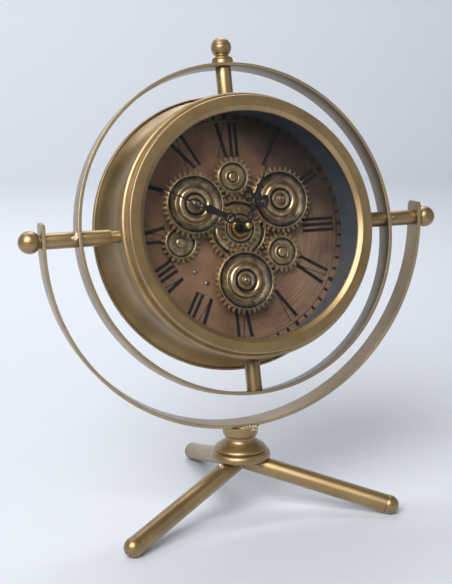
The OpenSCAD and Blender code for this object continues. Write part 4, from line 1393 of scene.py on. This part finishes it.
@dataclass(frozen=True)
class DialPrint:
    """The black print on the dial: radial Roman numerals, minute blocks and a thin circle.

    A numeral stands on the radius foot_r and reaches to head_r, its middle at its hour. Its
    points (x, y) lie x along the tangent and y up the radius of that hour.
    """

    foot_r: float = 62.6
    head_r: float = 91.8
    serif: float = 0.65
    serif_more: float = 1.1
    block: tuple[float, float] = (2.6, 3.8)
    hour_block: tuple[float, float] = (3.6, 4.2)
    block_r: float = 97.4
    line_r: float = 94.6
    line_w: float = 0.45
    film: float = 0.04
    lift: float = 0.02

    def build(self) -> None:
        """Prints the dial."""
        dial = dial_place()
        face = Gauge.of("dial_plate", dial).heights()[1] + self.lift
        shell = Shell(dial.at((0, 0, face)))
        letters = ["XII", "I", "II", "III", "IW", "V", "VI", "VII", "VIII", "IX", "X", "XI"]
        for hour, word in enumerate(letters):
            self.numeral(shell, word, hour * math.tau / 12)
        for minute in range(60):
            width, height = self.hour_block if minute % 5 == 0 else self.block
            self.bar(shell, minute * math.tau / 60, (0, self.block_r - height / 2),
                     (0, self.block_r + height / 2), width)
        inner, outer = self.line_r, self.line_r + self.line_w
        shell.lathe([[inner, 0], [outer, 0], [outer, self.film], [inner, self.film]], 240)
        shell.piece("dial_print", Slot.HAND, "clock")

    def numeral(self, shell: Shell, word: str, turn: float) -> None:
        """Prints one numeral: its letters side by side, with serifs over each stroke's ends.

        Two strokes that meet in a point have no serif there.

        Args:
            shell: Where it is added.
            word: Its letters, by their names in Numeral.
            turn: The hour's angle, clockwise from twelve, in radians.
        """
        rows = [Numeral[letter].value for letter in word]
        x = -sum(width for width, _ in rows) / 2
        for width, strokes in rows:
            for foot, head, thick in strokes:
                self.bar(shell, turn, (x + foot, self.foot_r), (x + head, self.head_r), thick)
            for end, level, inward in ((1, self.head_r, -1), (0, self.foot_r, 1)):
                spots = [stroke[end] for stroke in strokes]
                if len(strokes) == 2 and max(spots) - min(spots) < 0.1:
                    continue
                y = level + self.serif / 2 * inward
                for spot, stroke in zip(spots, strokes):
                    half = stroke[2] / 2 + self.serif_more
                    self.bar(shell, turn, (x + spot - half, y), (x + spot + half, y), self.serif)
            x += width

    def bar(self, shell: Shell, turn: float, start: tuple[float, float],
            end: tuple[float, float], thick: float) -> None:
        """Prints one straight bar: a thin box whose ends lie across the tangent or the radius.

        Args:
            shell: Where it is added.
            turn: The hour's angle, clockwise from twelve, in radians.
            start: One end's middle, across and along the radius.
            end: The other end's middle.
            thick: The bar's width, measured across a slanted bar's level ends.
        """
        a, b = np.array(start), np.array(end)
        half = np.array([0, thick / 2]) if abs(a[1] - b[1]) < 0.01 else np.array([thick / 2, 0])
        flat = np.array([a - half, a + half, b + half, b - half])
        right = np.array([math.cos(turn), -math.sin(turn)])
        out = np.array([math.sin(turn), math.cos(turn)])
        spots = flat[:, :1] * right + flat[:, 1:] * out
        low, high = np.zeros((4, 1)), np.full((4, 1), self.film)
        points = np.concatenate([np.hstack([spots, low]), np.hstack([spots, high])])
        faces = [[0, 1, 2, 3], [4, 5, 6, 7]] + [[i, (i + 1) % 4, (i + 1) % 4 + 4, i + 4]
                                               for i in range(4)]
        shell.add(points, faces)


class Face(Enum):
    """How a gear's face is shaped inside its teeth."""

    CHANNEL = "channel"
    WEB = "web"
    DOME = "dome"
    PLATEAU = "plateau"
    RING = "ring"


class Teeth(Enum):
    """The two sets of teeth: how many there are, and how high they are in millimetres."""

    LARGE = (36, 3.95)
    SMALL = (21, 2.95)


@dataclass(frozen=True)
class Blank:
    """A gear's measured sizes, and the corners of each kind of face.

    The teeth stand on the radius root, on a band of their thickness, and the hub runs from low to
    top. Heights count from the teeth's back. A corner is its radius, its height and how dark it is:
    tarnish in the hollows, and painted shade under the lip, in the channel and in the grooves.
    A face begins at the edge or at the band's inner side.
    """

    root: float
    bore: float
    low: float
    top: float
    thickness: float = 1.6
    band: float = 1.2
    edge: float = 0.2
    lip_w: float = 1.4
    swell_r: float = 12.1
    swell_w: float = 2.85
    swell_h: float = 2.7
    swell_rise: float = 2.6
    dish_r: float = 17.5
    dish_h: float = 1.2
    dish_rise: float = 2.5
    dish_power: float = 1.35
    spindle_r: float = 2.05

    def dish(self, radius: np.ndarray) -> np.ndarray:
        """The channel's height: 1.2 plus 2.5 times the share of the way out to the power 1.35."""
        share = (radius - self.dish_r) / (self.root - self.lip_w - self.dish_r)
        return self.dish_h + self.dish_rise * share.clip(0, 1) ** self.dish_power

    def hub(self, start: float, wall: float) -> Corners:
        """The hub's underside: from a start to a wall's width past the bore, then up to 0."""
        edge = self.bore + wall
        return [[start, self.low, 0.3], [edge, self.low, 0.3], [edge, 0, 0.3]]

    def rise(self) -> Corners:
        """A raised lip and the steps from it down to a flat web."""
        lip = self.root - self.band
        # The dark step just inside the lip is painted shade.
        return [[lip, 0, 0.4], [lip, 3, 0], [lip - 1.1, 3, 0.05], [lip - 1.6, 1.4, 1],
                [lip - 2.4, 1, 0.9], [lip - 4.2, 1, 0.3]]

    def channel(self) -> Corners:
        """Draws lip, dished channel, step ring, round ring, groove, disc and cone.

        Returns:
            The corners. The round ring is part of an ellipse.
        """
        lip = self.root - self.edge
        r = np.linspace(self.root - self.lip_w, self.dish_r, 15)
        # Painted shade in the channel: darkest under the lip, lighter towards the step ring.
        fall = np.stack([r, self.dish(r), np.linspace(0.98, 0.5, 15)], 1)
        a = np.radians(np.linspace(18, 162, 19))
        swell = np.stack([self.swell_r + self.swell_w * np.cos(a),
                          self.swell_h + self.swell_rise * np.sin(a), 0.6 - 0.6 * np.sin(a)], 1)
        # The third numbers paint shade beside the step ring and in the groove round the disc.
        return ([[self.bore, self.low, 0.3], [4, self.low, 0.3], [4, 0.2, 0.3], [lip, 0, 0.5],
                 [lip, 5, 0], [lip - 0.9, 5, 0.05]] + fall.tolist()
                + [[17.1, 2.8, 0.5], [16.2, 3.1, 0], [16, 2.5, 0.9], [15.6, 2.5, 0.9],
                   [15.4, 3.1, 0.1], [15.1, 3, 0.6]] + swell.tolist()
                + [[9.2, 2.8, 1], [7.8, 2.8, 1], [7.6, 5, 0.1], [5.6, 5, 0.1], [5, 4.7, 0.8],
                   [4.4, 4.7, 0.8], [3.9, 5, 0.3], [2.5, self.top - 0.2, 0],
                   [self.bore, self.top, 0.1]])

    def web(self) -> Corners:
        """A raised lip round a flat web, with a low ring in its middle."""
        ring = [[6.6, 1, 0.5], [6.1, 1.5, 0], [5.3, 1.5, 0.1], [4.8, 1, 0.9], [self.bore, 1, 0.8]]
        return self.hub(self.bore, 1.4) + self.rise() + ring

    def dome(self) -> Corners:
        """Draws a raised lip round a flat web, with a domed boss over a blind hole.

        Returns:
            The corners.
        """
        boss = [[4.6, 1, 0.6], [4.1, 1, 0.8], [4.1, 1.9, 0]]
        crown = [[*spot, 0] for spot in arc(2.9, 1.9, 1, 0, 90, 8)]
        hole = [[0, 2.9, 0], [0, 2.3, 0], [self.spindle_r, 2.3, 0]]
        return self.hub(self.spindle_r, 1.4) + self.rise() + boss + crown + hole

    def plateau(self) -> Corners:
        """A lip, a dark channel and a broad plateau."""
        lip = self.root - self.edge
        # The dark channel is painted shade.
        return self.hub(self.bore, 1.6) + [
            [lip, 0, 0.4], [lip, 3.2, 0], [lip - 0.9, 3.2, 0.05], [lip - 1.7, 1.3, 1],
            [21.3, 1.3, 0.8], [20.6, 2.8, 0.1], [19.2, 3.3, 0.1], [17.5, 3.3, 0.4],
            [8.6, 3.3, 0.45], [8.6, self.top, 0.5], [self.bore, self.top, 0.4]]

    def ring(self) -> Corners:
        """A flat wheel with a fine lip at its edge."""
        lip, t = self.root - self.band, self.thickness
        return [[self.bore, 0, 0.3], [lip, 0, 0.3], [lip, t + 0.3, 0], [lip - 0.6, t + 0.3, 0.1],
                [lip - 1, t - 0.5, 1], [lip - 2, t - 0.5, 0.9], [lip - 2.4, t, 0.1],
                [lip - 4, t, 0.3], [self.bore, t, 0.4]]


@dataclass(frozen=True)
class Gear:
    """One gear: a chamfered ring of teeth and a turned face.

    The teeth's outline is the root radius plus the tooth's height times f, where f falls from 1
    on the tip to 0 at 0.4 of a pitch from the tooth's middle line. The colour is darkest between
    the teeth. A gear with a hole has a black disc for it, painted shade, at an angle in degrees,
    at hole_r from its axis.
    """

    node: str
    axis: str
    teeth: Teeth
    face: Face
    hole: float | None = None
    hole_r: float = 19.4
    chamfer: float = 0.22
    tip: float = 0.5
    foot: float = 0.4

    def build(self) -> None:
        """Makes the gear."""
        dial = dial_place()
        spot = dial.inward(np.array(joint(self.axis)["pos_m"]))
        flat = dial.at((spot[0], spot[1], 0))
        solid = Gauge.of(self.node, flat)
        root = solid.reach() - self.teeth.value[1]
        level = solid.heights(root + 0.3)[0]
        low, top = solid.heights()
        blank = Blank(root, solid.bore(), low - level, top - level)
        face = {Face.CHANNEL: blank.channel, Face.WEB: blank.web, Face.DOME: blank.dome,
                Face.PLATEAU: blank.plateau, Face.RING: blank.ring}[self.face]
        place = flat.at((0, 0, level))
        shell = Shell(place).lathe(eased(face(), 0.28, 3), 168)
        shell.add(*self.ring(blank, solid))
        if self.hole is not None:
            self.painted_hole(place, blank)
        shell.piece("cut_" + self.node, Slot.BRASS, carrier(self.node), self.node)

    def ring(self, blank: Blank, solid: Gauge) -> tuple[np.ndarray, np.ndarray, np.ndarray]:
        """Draws the ring of teeth: its outline at four heights, drawn in at the chamfers.

        Args:
            blank: The gear's sizes.
            solid: The gear's gauge, which gives the teeth's tips.

        Returns:
            The points, the faces and the patina.
        """
        teeth, reach = self.teeth.value[0], solid.reach()
        pitch = math.tau / teeth
        half_tip = self.tip / 2 / reach / pitch
        s = np.array([-0.5, -self.foot, -0.36, -0.2, -half_tip - 0.02, -half_tip,
                      half_tip, half_tip + 0.02, 0.2, 0.36, self.foot])
        f = np.clip((self.foot - np.abs(s)) / (self.foot - half_tip), 0, 1)
        f = f - 0.06 * (f > 0.97) * (np.abs(s) > half_tip + 1e-6)
        angle = (np.arange(teeth)[:, None] + s[None, :]).ravel() * pitch + solid.phase(teeth)
        radius = blank.root + (reach - blank.root) * np.tile(f, teeth)
        line = np.stack([radius * np.cos(angle), radius * np.sin(angle)], 1)
        tangent = np.roll(line, -1, 0) - np.roll(line, 1, 0)
        drawn = line - self.chamfer * unit(np.stack([tangent[:, 1], -tangent[:, 0]], 1))
        hub = (blank.root - blank.band) * np.stack([np.cos(angle), np.sin(angle)], 1)
        thick = blank.thickness
        rows = ((hub, 0), (drawn, 0), (line, self.chamfer), (line, thick - self.chamfer),
                (drawn, thick), (hub, thick))
        points = np.stack([np.column_stack([xy, np.full(len(xy), h)]) for xy, h in rows], 1)
        # Darker towards the roots between the teeth.
        dark = np.repeat(0.55 - 0.5 * np.tile(f, teeth), len(rows))
        return points.reshape(-1, 3), grid_faces(len(angle), len(rows), True, True), dark

    def painted_hole(self, place: Place, blank: Blank) -> None:
        """Paints the small hole's shade in the channel: a black disc that follows the dish.

        Args:
            place: The gear's place, at the teeth's back.
            blank: The gear's sizes.
        """
        profile = [[0, -0.1], [1.0, -0.1], [1.15, 0], [1.0, 0.12], [0, 0.08]]
        points, faces = turned(profile, 24, closed=False)
        a = math.radians(self.hole)
        points[:, :2] += self.hole_r * np.array([math.cos(a), math.sin(a)])
        points[:, 2] += blank.dish(np.hypot(points[:, 0], points[:, 1]))
        Shell(place).add(points, faces).piece(
            "hole_" + self.node, Slot.HAND, carrier(self.node))


# The nine toothed wheels, each with the joint that it turns on.
GEARS = (
    Gear("gear_left", "left_gear_spin", Teeth.LARGE, Face.CHANNEL, 187),
    Gear("gear_right", "right_gear_spin", Teeth.LARGE, Face.CHANNEL, 310),
    Gear("gear_bottom", "bottom_gear_spin", Teeth.LARGE, Face.CHANNEL, 284),
    Gear("centre_wheel", "centre_gear_spin", Teeth.LARGE, Face.PLATEAU),
    Gear("centre_pinion", "centre_gear_spin", Teeth.SMALL, Face.RING),
    Gear("small_gear_top", "top_small_gear_spin", Teeth.SMALL, Face.WEB),
    Gear("small_gear_right", "right_small_gear_spin", Teeth.SMALL, Face.WEB),
    Gear("left_pinion", "left_gear_spin", Teeth.SMALL, Face.WEB),
    Gear("drive_gear", "drive_gear_spin", Teeth.SMALL, Face.DOME),
)


@dataclass(frozen=True)
class HandNut:
    """The round nut that holds the movement: a dark flange under a rounded bright body."""

    node: str = "movement_nut"
    body_r: float = 7.8
    flange_h: float = 0.6

    def build(self) -> None:
        """Turns the nut."""
        dial = dial_place()
        solid = Gauge.of(self.node, dial)
        low, high = solid.heights()
        r, bore, body = solid.reach() - 0.1, solid.bore(), self.body_r
        step = low + self.flange_h
        corners = [[bore, low, 1], [r, low, 1], [r, step, 0.9], [body, step, 0.9],
                   [body, step + 0.5, 0.1], [body, high - 0.9, 0], [body - 0.9, high, 0],
                   [bore + 0.7, high, 0.1], [bore, high - 0.5, 0.6]]
        Shell(dial).lathe(eased(corners, 0.3, 3), 96).piece(
            "turned_" + self.node, Slot.NUT, "clock", self.node)


@dataclass(frozen=True)
class Softened:
    """A flat or moulded solid whose shape stays, given the fine round that tools leave."""

    node: str
    slot: Slot
    width: float = 0.15
    crease: float = 30.0
    least_turn: float = 40.0

    def build(self) -> None:
        """Copies the solid's mesh, merges it and bevels the edges that turn by 40 degrees."""
        name = "soft_" + self.node
        mesh = frame["nodes"][self.node].data.copy()
        mesh.name = name
        mesh.materials.clear()
        piece = settle(mesh, name, self.slot, carrier(self.node), (self.node,), self.crease)
        bevel = piece.modifiers.new("edges", "BEVEL")
        bevel.width = self.width * MM
        bevel.segments = 2
        bevel.limit_method = "ANGLE"
        bevel.angle_limit = math.radians(self.least_turn)


# The pieces that keep their solid's shape, each with the width of its bevels.
SOFTENED = (
    Softened("hour_hand", Slot.HAND, 0.12),
    Softened("minute_hand", Slot.HAND, 0.12),
    Softened("clock_movement", Slot.BLACK, 0.4),
    Softened("gear_motor", Slot.BLACK, 0.4),
    Softened("setting_knob", Slot.BLACK, 0.2),
    Softened("motor_switch", Slot.WHITE, 0.15),
    Softened("back_cover", Slot.BACK, 0.2),
    Softened("dial_screws", Slot.STEEL, 0.12),
    Softened("back_screws", Slot.STEEL, 0.12),
)


@dataclass(frozen=True)
class StudioCamera:
    """The camera that saw the clock, as fitted to its rings and rims.

    It stands at place, in metres from the dial's middle, and looks back along its azimuth and
    elevation, rolled a little. Its focal length is in pixels of a picture frame_w pixels wide.
    """

    place: tuple[float, float, float] = (-0.354197, -0.913669, 0.150739)
    azimuth: float = -20.53
    elevation: float = 11.83
    roll: float = -0.55
    focal: float = 1172.99
    frame_w: float = 452.0
    sensor: float = 36.0

    def build(self) -> None:
        """Makes the camera and hands it to the scene."""
        a, e, r = (math.radians(x) for x in (self.azimuth, self.elevation, self.roll))
        back = np.array([math.sin(a) * math.cos(e), -math.cos(a) * math.cos(e), math.sin(e)])
        right = unit(np.cross(-back, [0, 0, 1.0]))
        up = np.cross(right, -back)
        right, up = (math.cos(r) * right + math.sin(r) * up,
                     math.cos(r) * up - math.sin(r) * right)
        data = bpy.data.cameras.new("studio_camera")
        data.sensor_fit = "HORIZONTAL"
        data.sensor_width = self.sensor
        data.lens = self.focal * self.sensor / self.frame_w
        data.clip_start, data.clip_end = 0.01, 50
        camera = show("studio_camera", data)
        turn = np.eye(4)
        turn[:3] = np.stack([right, up, back, dial_place().middle + self.place], 1)
        camera.matrix_world = Matrix(turn.tolist())
        bpy.context.scene.camera = camera


@dataclass(frozen=True)
class Studio:
    """A pale round floor that curves up into a wall, soft lamps and a plain sky.

    The floor is turned: flat out to wall_r less bend, then a quarter of a circle, then upright.
    Its sizes and the lamps' are in metres.
    """

    shade: Shade = Shade(198, 202, 209)
    wall_r: float = 3.6
    bend: float = 1.0
    wall_h: float = 3.0

    def build(self) -> None:
        """Makes the floor, the lamps, the sky and the camera."""
        self.floor()
        self.lamp("key", (-1.05, -1.15, 1.55), (0, 0, 0.2), 1.5, 62)
        self.lamp("fill", (1.5, -1.2, 0.9), (0, 0, 0.2), 1.2, 2)
        self.lamp("rim", (0.5, 1.0, 1.6), (0, 0, 0.2), 1.0, 7)
        self.lamp("backdrop", (-0.2, 1.3, 2.6), (-0.1, 3.5, 0.7), 1.8, 80)
        self.sky(0.08)
        StudioCamera().build()
        bpy.context.scene.view_settings.view_transform = "Standard"

    def floor(self) -> None:
        """Turns the floor and puts it in the scene."""
        a = np.linspace(-math.pi / 2, 0, 24)
        flat = self.wall_r - self.bend
        curve = np.stack([flat + self.bend * np.cos(a), self.bend * (1 + np.sin(a))], 1)
        profile = np.concatenate([[[0, 0], [flat / 2, 0]], curve, [[self.wall_r, self.wall_h]]])
        points, faces = turned(profile, 128, closed=False)
        mesh = bpy.data.meshes.new("floor")
        mesh.from_pydata(points.tolist(), [], faces[:, ::-1].tolist())
        mesh.shade_smooth()
        floor = show("floor", mesh)
        mesh.materials.append(Coating("pale_floor", self.shade, self.shade, 0.7, 300).material())

    def lamp(self, name: str, place: tuple[float, float, float],
             target: tuple[float, float, float], size: float, watts: float) -> None:
        """Hangs a square soft lamp.

        Args:
            name: Its name.
            place: Where it hangs, in metres.
            target: Where it points.
            size: Its side, in metres.
            watts: Its power.
        """
        data = bpy.data.lights.new(name, "AREA")
        data.size, data.energy = size, watts
        lamp = show(name, data)
        lamp.location = place
        aim = np.array(target) - np.array(place)
        lamp.rotation_euler = (math.atan2(math.hypot(aim[0], aim[1]), -aim[2]), 0,
                               math.atan2(-aim[0], aim[1]))

    def sky(self, level: float) -> None:
        """Hangs a plain, faintly blue sky.

        Args:
            level: Its brightness.
        """
        world = bpy.data.worlds.new("sky")
        world.use_nodes = True
        inputs = world.node_tree.nodes["Background"].inputs
        inputs["Color"].default_value = (0.9, 0.94, 1.0, 1)
        inputs["Strength"].default_value = level
        bpy.context.scene.world = world


def finishes() -> dict[Slot, bpy.types.Material]:
    """Builds one material for each slot of the record.

    Returns:
        The materials by their slots.
    """
    looks = {
        Slot.GOLD: GoldPaint(),
        Slot.BRASS: AntiqueBrass(),
        Slot.STEEL: PlainMetal("bright_steel", Shade(200, 200, 198), Shade(150, 150, 150)),
        Slot.NUT: PlainMetal("nut_brass", Shade(232, 184, 96), Shade(200, 148, 66)),
        Slot.CAP: PlainMetal("cap_brass", Shade(214, 190, 112), Shade(184, 156, 80)),
        Slot.HAND: Coating("hand_black", Shade(26, 26, 28), Shade(14, 14, 16), 0.42),
        Slot.GLASS: ClockGlass(),
        Slot.LINER: Coating("liner_dark", Shade(88, 96, 106), Shade(70, 78, 88), 0.4),
        Slot.DIAL: DialPatinaAndLight(),
        Slot.BACK: Coating("back_grey", Shade(62, 62, 64), Shade(48, 48, 50), 0.55),
        Slot.BLACK: Coating("black_plastic", Shade(34, 34, 36), Shade(24, 24, 26), 0.45),
        Slot.WHITE: Coating("white_plastic", Shade(225, 224, 218), Shade(212, 211, 205)),
        Slot.CELL: Coating("cell_jacket", Shade(70, 74, 84), Shade(52, 56, 66), 0.3),
    }
    return {slot: look.material() for slot, look in looks.items()}


def main() -> None:
    """Builds the sub-assemblies in order."""
    logging.basicConfig(level=logging.INFO, format="%(name)s: %(message)s")
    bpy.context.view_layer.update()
    PAINTS.update(finishes())
    for row in frame["record"]["subparts"]:
        solid = frame["nodes"][row["node"]]
        solid.data.materials.clear()
        solid.data.materials.append(PAINTS[Slot(row["material_slot"])])
    for part in (Stand(), Gimbal(), Case(), DialPrint(), HandNut(), *GEARS, *SOFTENED):
        LOG.info("building %s", type(part).__name__)
        part.build()
    Studio().build()


if __name__ == "__main__":
    main()
